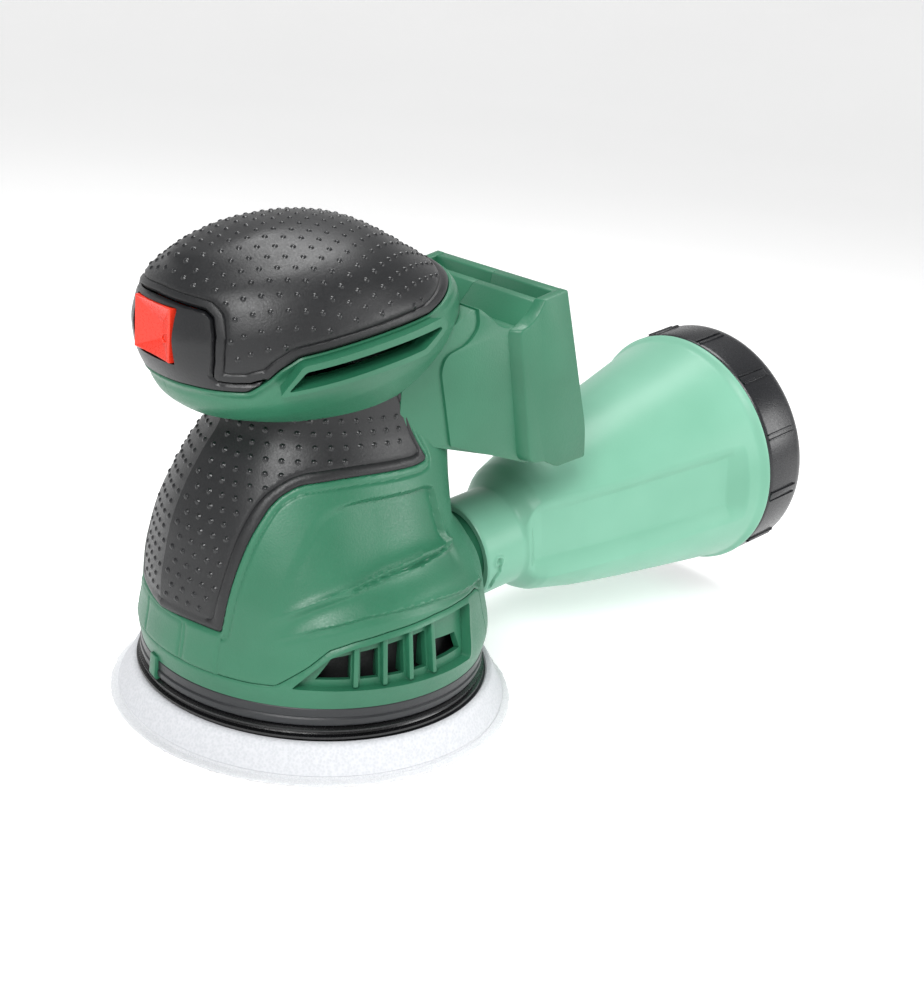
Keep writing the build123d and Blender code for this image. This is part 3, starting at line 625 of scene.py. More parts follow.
def domes(name, places, normals, radius, height, material, body, slot, around=9):
    """Small round studs seated on a surface."""
    profile = [(1.25, -0.25), (1.0, 0.05), (0.72, 0.6), (0.36, 0.92)]
    verts, faces = [], []
    for p, n in zip(places, normals):
        side = np.cross(n, (0.13, 0.9, 0.4))
        side /= np.linalg.norm(side)
        other = np.cross(n, side)
        start = len(verts)
        for r, h in profile:
            for k in range(around):
                a = 2 * PI * k / around
                out = math.cos(a) * side + math.sin(a) * other
                verts.append(p + radius * r * out + n * height * h)
        top = len(verts)
        verts.append(p + n * height)
        floor = len(verts)
        verts.append(p - n * 0.5)
        for j in range(len(profile) - 1):
            for k in range(around):
                m = (k + 1) % around
                a, b = start + j * around + k, start + j * around + m
                faces.append((a, b, b + around, a + around))
        e = start + (len(profile) - 1) * around
        for k in range(around):
            m = (k + 1) % around
            faces.append((e + k, e + m, top))
            faces.append((start + m, start + k, floor))
    return add_piece(name, verts, faces, material, body, slot, sharp=80)


# ================================================================ body: lines on it
REF = 48.0                    # flat length of one radian of azimuth
STUD_RADIUS, STUD_HEIGHT = 0.8, 0.42


def deg_line(points):
    """Feature line given as (azimuth in degrees, height) in flat coordinates."""
    return [(math.radians(a) * REF, z) for a, z in points]


def body_flat(s, t):
    return body_point(s / REF, t)


waist_line = deg_line([
    (-180, 37.6), (-154.5, 37.6), (-152.2, 54), (-149, 66), (-144, 75), (-136, 79),
    (-114, 80.7), (-72, 81), (-63.3, 81.8), (-78.5, 100.5), (-83, 108), (-180, 108)])
waist_radius = [0, 1.0, 8, 9, 7, 9, 9, 3, 2.5, 5, 0, 0]
waist_outline = rounded(waist_line, waist_radius, 6)
field_line = deg_line([
    (-190, 40.6), (-158, 40.2), (-155.6, 54.2), (-153, 66.5), (-149, 75.6), (-138, 81.7),
    (-114, 83.4), (-73, 83.6), (-68.4, 84.4), (-79.5, 99), (-84, 102.5), (-190, 99)])
field_outline = rounded(field_line, [0, 1.5, 8, 9, 7, 9, 9, 2, 2, 4, 3, 0], 6)
panel_line = deg_line([
    (-128, 73.2), (-106.5, 74.8), (-69.5, 75.2), (-64.3, 74.0), (-65.5, 61.0), (-66.5, 57.3),
    (-99.5, 55.2), (-117.5, 51.0), (-132, 46), (-139, 40), (-138, 54), (-134, 62)])
panel_outline = rounded(panel_line, [8, 4, 2, 1.5, 3, 1.5, 4, 4, 4, 4, 6, 8], 6)
ridge = np.array(deg_line([
    (-60, 59.4), (-68, 58.8), (-82, 58.8), (-99.5, 56.8), (-109, 54.8), (-117.5, 52.5), (-125, 50.2),
    (-132, 47.5), (-143, 42.5)]))
second = np.array(deg_line([
    (-48, 42.5), (-54, 45.2), (-82, 47.2), (-97, 46.9), (-109.5, 46.2), (-124.5, 43.2),
    (-135, 39.5), (-142, 37)]))
seam_line = np.array([
    (-180, 25.4), (-144, 25.4), (-136, 25.8), (-126.5, 32), (-120.5, 36.8), (-113, 39), (-101.5, 41),
    (-83, 43), (-70.5, 43.3), (-56, 43), (-53, 41.5), (-49, 25.4), (-46, 25), (0, 25)], float)


def height_above(points, line):
    """Height of flat points above a rising line, and how far along it they are, 0 to 1."""
    order = np.argsort(line[:, 0])
    x, y = line[order, 0], line[order, 1]
    level = np.interp(points[:, 0], x, y)
    along = (points[:, 0] - x[0]) / (x[-1] - x[0])
    return points[:, 1] - level, along


def body_relief(flat):
    """Inward or outward shift of the green body, in millimetres, at flat points of the left half."""
    shift = np.zeros(len(flat))
    waist = signed_distance(flat, waist_outline)
    shift -= 1.3 * fade(waist, -0.5, 0.4)
    shift -= 0.4 * np.exp(-((waist + 2.2) / 0.42)**2) * (flat[:, 1] < 92)
    panel = signed_distance(flat, panel_outline)
    azimuth = flat[:, 0] / REF
    depth = 0.35 + 1.45 * fade(azimuth, math.radians(-132), math.radians(-100))
    edge = 0.8 + 3.0 * fade(-azimuth, math.radians(112), math.radians(128))
    shift -= depth * fade(panel, -0.1, edge)
    v, along = height_above(flat, ridge)
    ends = fade(along, 0.0, 0.2) * (1 - fade(along, 0.93, 0.99))
    over = (depth + 0.3) * np.exp(-np.clip(v, 0, None) / 1.7)
    valley = depth + 0.3 - (depth + 1.4) * fade(-v, -0.3, 2.7) + 1.1 * fade(-v, 3.0, 9.5)
    shift += ends * np.where(v >= 0, over, valley)
    w, wide = height_above(flat, second)
    ends2 = fade(wide, 0.03, 0.25) * (1 - fade(wide, 0.95, 1.02))
    over = 1.1 * np.exp(-np.clip(w, 0, None) / 2.2)
    valley = 1.1 - 1.5 * fade(-w, -0.2, 1.1) + 0.4 * fade(-w, 1.1, 3.2)
    shift += ends2 * np.where(w >= 0, over, valley)
    return shift


def crease(flat):
    """Keel of the front rubber: a crisp upright edge in the middle."""
    s = np.abs(flat[:, 0] + PI * REF)
    return 0.9 * np.clip(1 - s / 13, 0, 1)**2 - 0.35 * np.exp(-((s - 14) / 7)**2)


# ================================================================ body: green shells
def mirrored(points, side):
    out = np.array(points, float)
    out[..., 1] *= side
    return out


def shell_body(side, label):
    columns = 420
    rows = 200
    s = np.linspace(-PI * REF, 0, columns)
    bottom = np.interp(s, np.radians(seam_line[:, 0]) * REF, seam_line[:, 1]) + 0.12
    k = np.linspace(0, 1, rows)[:, None]
    z = bottom[None, :] + (107.0 - bottom[None, :]) * k
    ss = np.broadcast_to(s[None, :], z.shape)
    flat = np.stack([ss.ravel(), z.ravel()], 1)
    base = body_flat(flat[:, 0], flat[:, 1])
    normal = normals_of(body_flat, flat[:, 0], flat[:, 1])
    shift = body_relief(flat)
    shift -= 0.3 * np.exp(-((flat[:, 1] - bottom[None, :].repeat(rows, 0).ravel()) / 0.3)**2)
    outer = base + normal * shift[:, None]
    inner = base - normal * 3.2
    parting = 0.06
    for grid in (outer, inner):
        grid[:, 1] = np.minimum(grid[:, 1], -parting)
    outer = mirrored(outer, side).reshape(rows, columns, 3)
    inner = mirrored(inner, side).reshape(rows, columns, 3)
    return grid_shell(label, outer, inner, GREEN, None, None)


def local_angle(x, y, level):
    """Angle round the head's oval of a local point."""
    centre = head_oval(level)[..., 4]
    return np.degrees(np.arctan2(y, x - centre))


belt_points = [
    (-55.3, 0, 6.7), (-55, -5, 6.7), (-53.3, -13.2, 6.3), (-49.9, -19.4, 5.3), (-44.3, -25.4, 4.2),
    (-40.5, -28.6, 6.4), (-36.8, -31.1, 9.2), (-31.6, -33.2, 11.3), (-18.2, -35.8, 10.4),
    (-3.5, -35.9, 9.2), (9.9, -33.4, 7.9), (16.1, -30.5, 8.2), (23.2, -24.9, 8.9),
    (30.4, -13.5, 9.6), (32.5, 0, 10.0)]
belt_angle = np.array([local_angle(x, y, h) for x, y, h in belt_points])
belt_angle[0] = -180
belt_level = np.array([p[2] for p in belt_points])


def belt_height(angle_deg):
    a = -np.abs(angle_deg)
    table = np.interp(a, belt_angle, belt_level)
    return table


def belt_smooth(angle_deg):
    """Belt line with its corners slightly eased."""
    total = np.zeros_like(np.asarray(angle_deg, float))
    for offset, weight in ((-1.2, 0.2), (-0.6, 0.2), (0, 0.2), (0.6, 0.2), (1.2, 0.2)):
        total = total + weight * belt_height(np.clip(-np.abs(angle_deg) + offset, -180, 0))
    return total


def shell_head(side, label):
    columns = 300
    rows = 70
    angle = np.linspace(-PI, 0, columns)
    top = belt_smooth(np.degrees(angle))
    k = np.linspace(0, 1, rows)[:, None]
    level = -17.5 + (top[None, :] + 17.5) * k
    aa = np.broadcast_to(angle[None, :], level.shape)
    base = head_point(aa, level).reshape(-1, 3)
    normal = normals_of(lambda a, h: head_point(a / 30, h), aa.ravel() * 30, level.ravel())
    below = (top[None, :] - level).ravel()
    lip = 0.35 * np.exp(-(below / 1.1)**2) - 0.5 * np.exp(-(below / 0.25)**2)
    crown = -0.25 * np.exp(-((below - 2.3) / 1.0)**2)
    outer = base + normal * (lip + crown)[:, None]
    inner = base - normal * 3.0
    for grid in (outer, inner):
        grid[:, 1] = np.minimum(grid[:, 1], -0.06)
    outer = mirrored(outer, side).reshape(rows, columns, 3)
    inner = mirrored(inner, side).reshape(rows, columns, 3)
    shell = grid_shell(label, outer, inner, GREEN, None, None)

    def across(x, h, y):
        return tuple(HEAD_O + x * HEAD_X + h * HEAD_Z + side * y * SIDE)
    vent = rounded([(-36.8, 4.9), (-31.9, 9.4), (-10, 7.6), (9.0, 5.8), (10.0, 4.6), (2.0, 2.0)], 0.8, 3)
    cut(shell, prism_piece("tool", vent, -60, -29.0, across, GREEN))
    return shell


def vent_frame(side, label):
    """Raised lip round the cooling slot, and its dark throat."""
    outline = rounded(
        [(-38.2, 4.3), (-32.2, 10.6), (-10, 8.9), (10.4, 6.9), (11.5, 4.6), (2.8, 0.7)], 1.2, 4)
    hole = rounded(
        [(-36.2, 5.1), (-31.7, 9.0), (-10, 7.2), (8.4, 5.5), (9.0, 4.8), (1.9, 2.4)], 0.8, 3)

    def surface(x, h):
        """Side of the head at a local station and level."""
        x, h = np.broadcast_arrays(np.asarray(x, float), np.asarray(h, float))
        t = head_oval(h)
        front, rear, half, full, centre = (t[..., k] for k in range(5))
        reach = np.where(x < centre, centre - front, rear - centre)
        part = np.clip(1 - np.abs((x - centre) / reach)**full, 1e-3, None)
        return from_head(np.stack([x, side * half * part**(1 / full), h], -1))

    def relief(flat, base):
        d = np.minimum(line_distance(flat, outline), 9)
        return 0.5 * fade(d, 0, 0.8)
    ring = patch(label, outline, surface, 0.6, 4.2, GREEN, None, None, relief, (hole,),
                 inward=side, rings=(0.3, 0.6))
    return ring


def web_piece(side, label):
    outline = rounded([
        (29.5, 124.4), (31.0, 118.9), (27.4, 114.2), (19.4, 111.2), (18.0, 106.8), (24.3, 83.6),
        (56.2, 74.1), (45.9, 118.4), (42.0, 117.4), (38.0, 118.6), (34.0, 121.8)],
        [1, 3, 4, 4, 4, 0.4, 1, 3, 3, 4, 3], 5)
    plate = prism_piece(label, outline, 0.01 * side, side * 27.9, side_on, GREEN, edge=0.9)
    fairing = rounded([
        (5, 108), (6, 112), (17, 117), (24, 121), (28.5, 124.0), (34, 121.2), (38, 118),
        (42, 117), (45, 117.6), (55.6, 75.0), (26, 82), (10, 86), (5, 92)], 1.0, 3)
    fill = prism_piece(label + "_fairing", fairing, 0.02 * side, side * 27.0, side_on, GREEN, edge=0.7)
    return [plate, fill]


def foot_piece(side, label):
    """Half of the battery foot: cheek, lip, groove and scooped front."""
    bend = [1, 2, 0.4, 0.5, 20, 20, 12, 1, 1, 0.5, 3, 1.5]
    rear = [(61.3, 128.7), (66.4, 114.4), (73.5, 94.0), (77.0, 84.4), (78.3, 74.2), (66.4, 72.4),
            (60.7, 74.9)]
    crest = [(47.6, 118.8), (50.6, 121.6), (52.6, 126.2)] + rear + [(54.6, 74.9), (44.2, 117.2)]
    base = [(44.8, 118.4), (48.8, 121.8), (51.4, 125.9)] + rear + [(51.2, 75.4), (41.2, 117.0)]
    cheek_piece = prism_piece(label, rounded(base, bend, 5), side * 27.3, side * 30.9, side_on, GREEN,
                              edge=0.6, crest=rounded(crest, bend, 5))
    block = rounded([
        (45.2, 117.6), (51.0, 125.0), (53.3, 125.8), (54.9, 120.8), (57.3, 121.2), (58.3, 127.7),
        (61.4, 128.6), (62.3, 125.8), (58.2, 124.5), (73.2, 77.4), (77.0, 78.6), (78.3, 74.2),
        (66.4, 72.4), (60.7, 74.9), (53.9, 74.9)], 0.35, 2)
    block_piece = prism_piece(label + "_core", block, side * 0.01, side * 27.6, side_on, GREEN,
                              edge=0.25)
    return [cheek_piece, block_piece]


def green_shell(side, name, node):
    parts = [shell_body(side, name), shell_head(side, name + "_h")] + web_piece(side, name + "_w")
    parts += foot_piece(side, name + "_f")
    parts.append(vent_frame(side, name + "_v"))
    shell = joined(parts)
    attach(shell, "housing")
    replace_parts(shell, node)
    return shell


green_shell(1, "shell_left", "left_shell")
green_shell(-1, "shell_right", "right_shell")


# ================================================================ waist grips
def waist_grip(side, name, node):
    def relief(flat, base):
        d = signed_distance(flat, waist_outline)
        d = np.where(flat[:, 1] > 104, 9, d)
        d = np.where(flat[:, 0] < -PI * REF + 3, np.maximum(d, np.minimum(9, flat[:, 1] - 37.6)), d)
        lift = 0.1 - 0.5 * np.exp(-(d / 0.4)**2)
        f = signed_distance(flat, field_outline)
        lift -= 0.5 * np.exp(-(f / 0.42)**2)
        lift -= 0.15 * fade(f, 0.3, 0.9)
        return lift + crease(flat)

    def surface(s, t):
        return mirrored(body_flat(s, t), side)
    border = np.concatenate([field_outline, field_outline[:1]])
    border = border[border[:, 0] > -PI * REF + 0.8]
    grip = patch(name, waist_outline, surface, 0.9, 2.2, RUBBER, "housing", "grip_rubber", relief,
                 inward=side, rings=(0.3, 0.7), scores=(border,))
    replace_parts(grip, node)
    places = []
    for row, z in enumerate(np.arange(42.5, 97, 3.5)):
        ring = body_point(np.linspace(-PI, 0, 721), np.full(721, z))
        arc = np.concatenate([[0], np.cumsum(np.linalg.norm(np.diff(ring, axis=0), axis=1))])
        stations = np.arange(2.3 + (row % 2) * 2.2, arc[-1], 4.4)
        azimuth = np.interp(stations, arc, np.linspace(-PI, 0, 721))
        for a in azimuth:
            places.append((a * REF, z))
    places = np.array(places)
    keep = signed_distance(places, field_outline) > 1.3
    keep &= (places[:, 0] > -PI * REF + 0.5)
    places = places[keep]
    base = surface(places[:, 0], places[:, 1])
    normal = normals_of(surface, places[:, 0], places[:, 1]) * side
    studs = domes(name + "_dots", base + normal * crease(places)[:, None], normal,
                  STUD_RADIUS, STUD_HEIGHT, DOT, "housing", "grip_rubber")
    studs.parent = grip
    studs.matrix_parent_inverse = Matrix.Identity(4)
    return grip


waist_grip(1, "grip_waist_left", "waist_grip_left")
waist_grip(-1, "grip_waist_right", "waist_grip_right")


# ================================================================ top grip
nose_points = [
    (-50.7, 0, 28.5), (-50.5, 4.5, 28.3), (-50, 8.4, 27.9), (-48.2, 14, 27), (-46.6, 17.2, 26.2),
    (-46.2, 19.4, 24.5), (-47.7, 21.1, 20.2), (-49.5, 21.1, 14.2), (-50.4, 20, 9.8),
    (-49.6, 20.7, 8.2), (-46.6, 23.9, 7.4), (-43.6, 26.6, 6.9), (-40.5, 28.6, 7.4)]


nose_seam = np.array([(local_angle(x, y, h), h) for x, y, h in nose_points])
nose_seam[0, 0] = 180


def top_grip():
    """One patch over the crown, in flat coordinates around its top."""
    def spread(s, t):
        """Flat (s, t) to head: polar, with the radius standing for the drop in level."""
        rho = np.hypot(s, t)
        local = head_local(np.arctan2(t, s), drop_level(rho))
        crown = np.array([-23.6, 0, 37.65])
        return from_head(crown + (local - crown) * np.clip(rho / 2, 0, 1)[..., None])

    def outward(s, t):
        slant = normals_of(spread, s, t)
        share = fade(np.hypot(s, t), 3, 7)[..., None]
        mixed = slant * share + HEAD_Z * (1 - share)
        return mixed / np.linalg.norm(mixed, axis=-1, keepdims=True)

    # Arc length down the flank, from the crown, gives even triangles.
    levels = np.linspace(37.55, 3.0, 400)
    flank = head_local(np.full(400, -PI / 2), levels)
    arc = np.concatenate([[0], np.cumsum(np.hypot(np.diff(flank[:, 1]), np.diff(levels)))]) + 2.0

    def drop_level(rho):
        return np.interp(rho, arc, levels)

    def rho_of(level):
        return np.interp(-np.asarray(level, float), -levels, arc)

    def flat_of(angle_deg, level):
        rho = rho_of(level)
        a = np.radians(angle_deg)
        return np.stack([rho * np.cos(a), rho * np.sin(a)], -1)

    angles = np.arange(0, 136, 1.0)
    rear = flat_of(angles, belt_smooth(angles))
    nose = flat_of(nose_seam[::-1, 0][:-1], nose_seam[::-1, 1][:-1])
    join = [p for p, a in zip(rear, angles) if a < nose_seam[-1, 0] - 1.0]
    half = np.concatenate([join, nose, [flat_of(180.0, 28.5)]])
    other = half[::-1] * [1, -1]
    outline = np.concatenate([half, other[1:-1]])

    def relief(flat, base):
        d = signed_distance(flat, outline)
        lift = 0.55 * fade(d, 0.2, 0.9) - 0.7 * np.exp(-(d / 0.4)**2)
        lift -= 0.55 * np.exp(-((d - 2.9) / 0.36)**2)
        lift -= 0.2 * fade(d, 2.6, 3.3)
        return lift
    grip = patch("grip_top", outline, spread, 0.95, 2.0, RUBBER, "housing", "grip_rubber", relief,
                 rings=(0.3, 0.7, 1.2, 2.5, 2.9, 3.3), normal_at=outward)
    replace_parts(grip, "top_grip")

    # Studs on cross slices at even spacing along the crest.
    crest_levels = np.concatenate([np.linspace(8, 37.5, 300), np.linspace(37.5, 11, 300)])
    crest_angle = np.concatenate([np.full(300, PI), np.zeros(300)])
    crest = head_local(crest_angle, crest_levels)
    run = np.concatenate([[0], np.cumsum(np.linalg.norm(np.diff(crest, axis=0), axis=1))])
    stations = np.interp(np.arange(1.0, run[-1], 4.0), run, crest[:, 0])
    places = []
    for index, x in enumerate(stations):
        for side in (-1, 1):
            ys = np.linspace(0, 37, 400)
            hs = slice_height(x, ys)
            ok = ~np.isnan(hs)
            if ok.sum() < 3:
                continue
            ys2, hs2 = ys[ok], hs[ok]
            length = np.concatenate([[0], np.cumsum(np.hypot(np.diff(ys2), np.diff(hs2)))])
            first = 0.0 if index % 2 == 0 else 2.35
            for a in np.arange(first, length[-1], 4.7):
                if a == 0 and side == 1:
                    continue
                y, h = np.interp(a, length, ys2), np.interp(a, length, hs2)
                places.append((x, side * y, h))
    places = np.array(places)
    angle = local_angle(places[:, 0], places[:, 1], places[:, 2])
    flat = flat_of(angle, places[:, 2])
    keep = signed_distance(flat, outline) > 3.9
    places, flat = places[keep], flat[keep]
    base = spread(flat[:, 0], flat[:, 1])
    normal = outward(flat[:, 0], flat[:, 1])
    studs = domes("grip_top_dots", base + normal * 0.33, normal, STUD_RADIUS, STUD_HEIGHT, DOT,
                  "housing", "grip_rubber")
    studs.parent = grip
    studs.matrix_parent_inverse = Matrix.Identity(4)
    return grip


def slice_height(x, ys):
    """Height of the head's surface above its belt on the slice at station x, nan outside."""
    out = np.full(len(ys), np.nan)
    levels = np.linspace(37.6, 6.0, 500)
    t = head_oval(levels)
    front, rear, half, full, centre = (t[:, k] for k in range(5))
    reach = np.where(x < centre, centre - front, rear - centre)
    part = 1 - np.abs((x - centre) / reach)**full
    width = np.where(part > 0, half * np.clip(part, 0, None)**(1 / full), -1)
    for i, y in enumerate(ys):
        hit = np.nonzero(width >= y)[0]
        if len(hit):
            out[i] = levels[hit[0]]
    return out


top_grip()


# ================================================================ nose cover and switch
def nose_surface(s, t):
    """Front of the head: s is degrees from the middle times 0.9, t the level."""
    return head_point(PI - s / 45.0, t)


def nose_flat(angle_deg, level):
    return ((180 - np.asarray(angle_deg, float)) * PI / 180 * 45.0, level)


cover_half = [nose_flat(a, h) for a, h in nose_seam]
half_line = [(0.0, 28.2)] + [(s - 0.25, h - 0.2) for s, h in cover_half[1:9]]
half_line += [(s, h - 0.2) for s, h in cover_half[9:12]] + [nose_flat(137.2, 7.0)]
above_belt = [nose_flat(a, belt_smooth(a)) for a in np.arange(138.5, 180, 1.5)]
half_line += [(s, h + 0.12) for s, h in above_belt]
half_line += [(0.0, 6.8)]
cover_outline = np.array(half_line + [(-s, h) for s, h in half_line[::-1]][1:-1])


def nose_relief(flat, base):
    d = signed_distance(flat, cover_outline)
    return 0.3 * fade(d, 0.1, 0.8) - 0.5 * np.exp(-(d / 0.35)**2)


cover = patch("nose_panel", cover_outline, nose_surface, 0.9, 2.4, BLACK, "housing", "black_plastic",
              nose_relief, inward=-1.0, rings=(0.3, 0.7))
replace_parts(cover, "nose_cover")

window = rounded([(-10.45, 110.7), (10.45, 110.7), (10.45, 125.5), (-10.45, 125.5)], 0.7, 3)
cut(cover, prism_piece("tool", window, -80, -40, lambda y, z, x: (x, y, z), BLACK))


def rocker():
    """Rocker with a hipped hollow: two slanted halves, a long top bevel and a short bottom one."""
    ys = np.unique(np.concatenate([np.linspace(-9.3, 9.3, 63), [-8.9, 8.9]]))
    zs = np.unique(np.concatenate([np.linspace(111.0, 125.2, 49), [111.4, 124.8]]))

    def face_x(y, z):
        rim = -58.0 + 0.35 * (1 - (y / 9.3)**2)
        sides = 0.34 * max(0, 8.9 - abs(y))
        above = 0.55 * max(0, 124.8 - z)
        under = 0.8 * max(0, z - 111.4)
        depth = min(sides, above, under)
        corner = 0.35 if abs(y) > 9.2 or z < 111.1 or z > 125.1 else 0
        return rim + depth + corner
    outer = np.array([[(face_x(y, z), y, z) for y in ys] for z in zs])
    inner = np.array([[(-49.6, y * 0.93, z) for y in ys] for z in zs])
    return grid_shell("switch_button", outer, inner, RED, None, None)


button = rocker()
button.data.set_sharp_from_angle(angle=math.radians(11))
mark_y = -4.6
slant = 0.34
mark_x = -58.0 + 0.35 * (1 - (mark_y / 9.3)**2) + slant * (8.9 - abs(mark_y))
slant_out = np.array([-1.0, -slant, 0]) / math.hypot(1, slant)
slant_side = np.array([-slant, 1.0, 0]) / math.hypot(1, slant)
ring_frame = (np.array([mark_x, mark_y, 116.4]), np.array([0, 0, 1.0]), slant_side, slant_out)
mark_profile = [(1.05, -0.4), (1.05, 0.12), (1.15, 0.2), (1.35, 0.2), (1.45, 0.12), (1.45, -0.4)]
mark = add_piece("switch_mark", *lathe(mark_profile, 40, ring_frame), RED, None, None)
button = joined([button, mark])
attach(button, "rocker")
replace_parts(button, "switch_rocker")


# ================================================================ fan housing and skirt
def fan_band(side):
    """Outer band of the fan housing with its exhaust opening, windows and blades."""
    pocket_deg = rounded(deg_line([
        (-131, 25.8), (-125.5, 30.8), (-119.6, 35.3), (-112.5, 37.4), (-101, 39.4), (-83, 41.3),
        (-70, 41.7), (-64.4, 41.4), (-66.6, 25.2)]), [0.6, 3, 3, 2, 2, 2, 1.5, 1, 1], 3)
    around = np.arange(0, -180.1, -1.5)
    top = list(zip(around, np.interp(around, seam_line[:, 0], seam_line[:, 1]) - 0.12))
    outline = np.array(deg_line([(-180, 19.5), (0, 19.5)] + top))

    def surface(s, t):
        return mirrored(body_flat(s, t), side)

    def relief(flat, base):
        d = line_distance(flat, pocket_deg)
        seam = np.interp(flat[:, 0], np.radians(seam_line[:, 0]) * REF, seam_line[:, 1]) - flat[:, 1]
        return 0.35 * np.exp(-(d / 0.8)**2) - 0.35 * np.exp(-(seam / 0.35)**2)
    band = patch("fan_band", outline, surface, 1.1, 4.0, GREEN, None, None, relief, (pocket_deg,),
                 inward=side, rings=(0.4, 1.0))
    # Floor of the pocket, set back, with five windows.
    def window_top(azimuth):
        return np.interp(azimuth, [-126, -121, -111, -97, -81, -72], [27.0, 33.6, 35.4, 37.4, 39.0, 39.8])
    windows = []
    low = 28.0
    edges = [(-126, -113.3), (-110.2, -104.2), (-101, -95), (-92, -86), (-83, -70.5)]
    for left, right in edges:
        if left == edges[0][0]:
            corners = [(-124.4, low), (right, low), (right, window_top(right)), (-119.5, 34.0)]
        elif left == edges[-1][0]:
            corners = [(left, low + 0.8), (-68.5, low + 0.8), (-70.5, 34.2), (left, 35.0)]
        else:
            corners = [(left, low), (right, low), (right, window_top(right)), (left, window_top(left))]
        windows.append(np.array(deg_line(corners)))
    floor_outline = np.array(deg_line([
        (-134, 24.6), (-127, 31.4), (-120, 36.4), (-101, 40.4), (-83, 42.2), (-62, 42.6), (-63, 24.6)]))

    def sunk(s, t):
        p = body_flat(s, t)
        p = p - normals_of(body_flat, s, t) * 2.6
        return mirrored(p, side)
    floor = patch("fan_floor", floor_outline, sunk, 1.6, 1.8, GREEN, None, None, None,
                  tuple(windows), inward=side, rings=())
    parts = [band, floor]
    for az, top_z in ((-112, 37.2), (-102.6, 38.8), (-93.4, 40.2), (-84.2, 41.0)):
        a = math.radians(az)
        radial = np.array([math.cos(a), math.sin(a), 0])
        across = np.array([-math.sin(a), math.cos(a), 0])
        outer_low = body_point(a, 27.0)
        r_low = np.linalg.norm(outer_low[:2])
        r_top = np.linalg.norm(body_point(a, top_z)[:2])
        line = [(r_low - 0.4, 26.0), (r_top - 0.5, top_z), (r_top - 8, top_z), (r_low - 8, 26.0)]

        def place(r, z, w, radial=radial, across=across):
            return tuple(mirrored(radial * r + across * w + np.array([0, 0, z]), side))
        parts.append(prism_piece("fan_blade", line, -0.75, 0.75, place, GREEN, edge=0.35))
    return parts


bands = fan_band(1) + fan_band(-1)
fan_case = joined(bands)
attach(fan_case, "housing")
cup_profile = [
    (49.8, 19.6), (49.8, 22.0), (43.2, 22.4), (43.2, 38.6), (5.6, 38.8), (5.6, 44.5), (11.2, 45.0),
    (11.2, 50.0), (13.8, 50.0), (14.2, 42.4), (45.2, 42.0), (45.6, 24.8), (50.2, 24.4), (51.2, 19.6)]
# Cup closing the inside of the fan housing, coloured near-black as painted shade behind the exhaust
# windows, not the green plastic it is made of.
cup = add_piece("fan_cup", *lathe(cup_profile, 128, UPRIGHT), INSIDE_SHADE, "housing", "green_plastic")
axis_tilt = math.radians(10)
BOX_Z = np.array([math.cos(axis_tilt), 0, math.sin(axis_tilt)])
BOX_X = np.array([-math.sin(axis_tilt), 0, math.cos(axis_tilt)])
BOX_O = np.array([55.3, 0, 34.2])
BOX = (BOX_O, BOX_X, SIDE, BOX_Z)
hole_profile = [(0.01, -14), (13.9, -14), (13.9, 14), (0.01, 14)]
cut(cup, add_piece("tool", *lathe(hole_profile, 64, BOX), INSIDE_SHADE, None, None))
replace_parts(fan_case, "fan_housing")

# Skirt ring with its lip and one small hook at the front.
skirt = [(50.2, 14.0), (52.0, 13.9), (52.6, 14.2), (52.9, 15.0), (52.9, 16.2), (52.5, 16.6),
         (52.7, 17.2), (52.7, 19.2), (52.3, 19.6), (50.2, 19.6)]
skirt_piece = add_piece("skirt", *lathe(skirt, 220, UPRIGHT), GREY, None, None)
hook_angle = math.radians(-184)
hook_dir = np.array([math.cos(hook_angle), math.sin(hook_angle), 0])
hook_across = np.array([-math.sin(hook_angle), math.cos(hook_angle), 0])
hook_line = rounded([(52.0, 20.6), (53.6, 20.8), (53.9, 14.6), (53.2, 13.2), (52.0, 13.4)], 0.4, 3)


def hook_place(r, z, w):
    return tuple(hook_dir * r + hook_across * w + np.array([0, 0, z]))


hook = prism_piece("skirt_hook", hook_line, -1.8, 1.8, hook_place, GREEN, edge=0.3)
skirt_piece = joined([skirt_piece, hook])
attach(skirt_piece, "housing")
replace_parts(skirt_piece, "skirt_ring")

brake = [(47.2, 11.0), (49.5, 10.4), (53.2, 10.2), (53.9, 10.6), (53.8, 11.2), (52.6, 11.5),
         (52.3, 12.0), (53.2, 12.5), (53.3, 13.1), (52.4, 13.6), (51.4, 14.0), (48.5, 14.0)]
brake_piece = add_piece("brake_lip", *lathe(brake, 220, UPRIGHT), GLOSSY, "housing", "brake_rubber")
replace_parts(brake_piece, "brake_ring")


# ================================================================ front cover
def front_cover():
    half_angle = 180 - 154.2
    outline = np.array(deg_line([(-180 - half_angle, 25.3), (-180 + half_angle, 25.3),
                                 (-180 + half_angle, 37.2), (-180 - half_angle, 37.2)]))
    inner = np.array(deg_line([(-190.2, 25.0), (-169.8, 25.0), (-169.8, 37.4), (-190.2, 37.4)]))
    third = np.array(deg_line([(-203.6, 24.0), (-168.2, 24.0), (-168.2, 36.6), (-203.6, 36.6)]))

    def surface(s, t):
        return body_point(s / REF, t)

    def relief(flat, base):
        d = signed_distance(flat, outline)
        lift = 0.3 * fade(d, 0, 0.5) - 0.3 * np.exp(-(d / 0.3)**2)
        lift -= 0.45 * np.exp(-(line_distance(flat, inner) / 0.36)**2)
        lift -= 0.35 * np.exp(-(line_distance(flat, third) / 0.36)**2)
        return lift
    return patch("front_badge_panel", outline, surface, 0.8, 2.0, GREEN, "housing", "green_plastic",
                 relief, rings=(0.3,), scores=(resampled(inner, 2), resampled(third, 2)))


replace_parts(front_cover(), "front_cover")


# ================================================================ pad
ORBIT = 1.0                   # the pad's axis stands this far off the motor's
PAD = (np.array([ORBIT, 0, 0]),) + UPRIGHT[1:]
HOLES, HOLE_CIRCLE, HOLE_RADIUS = 8, 32.5, 5


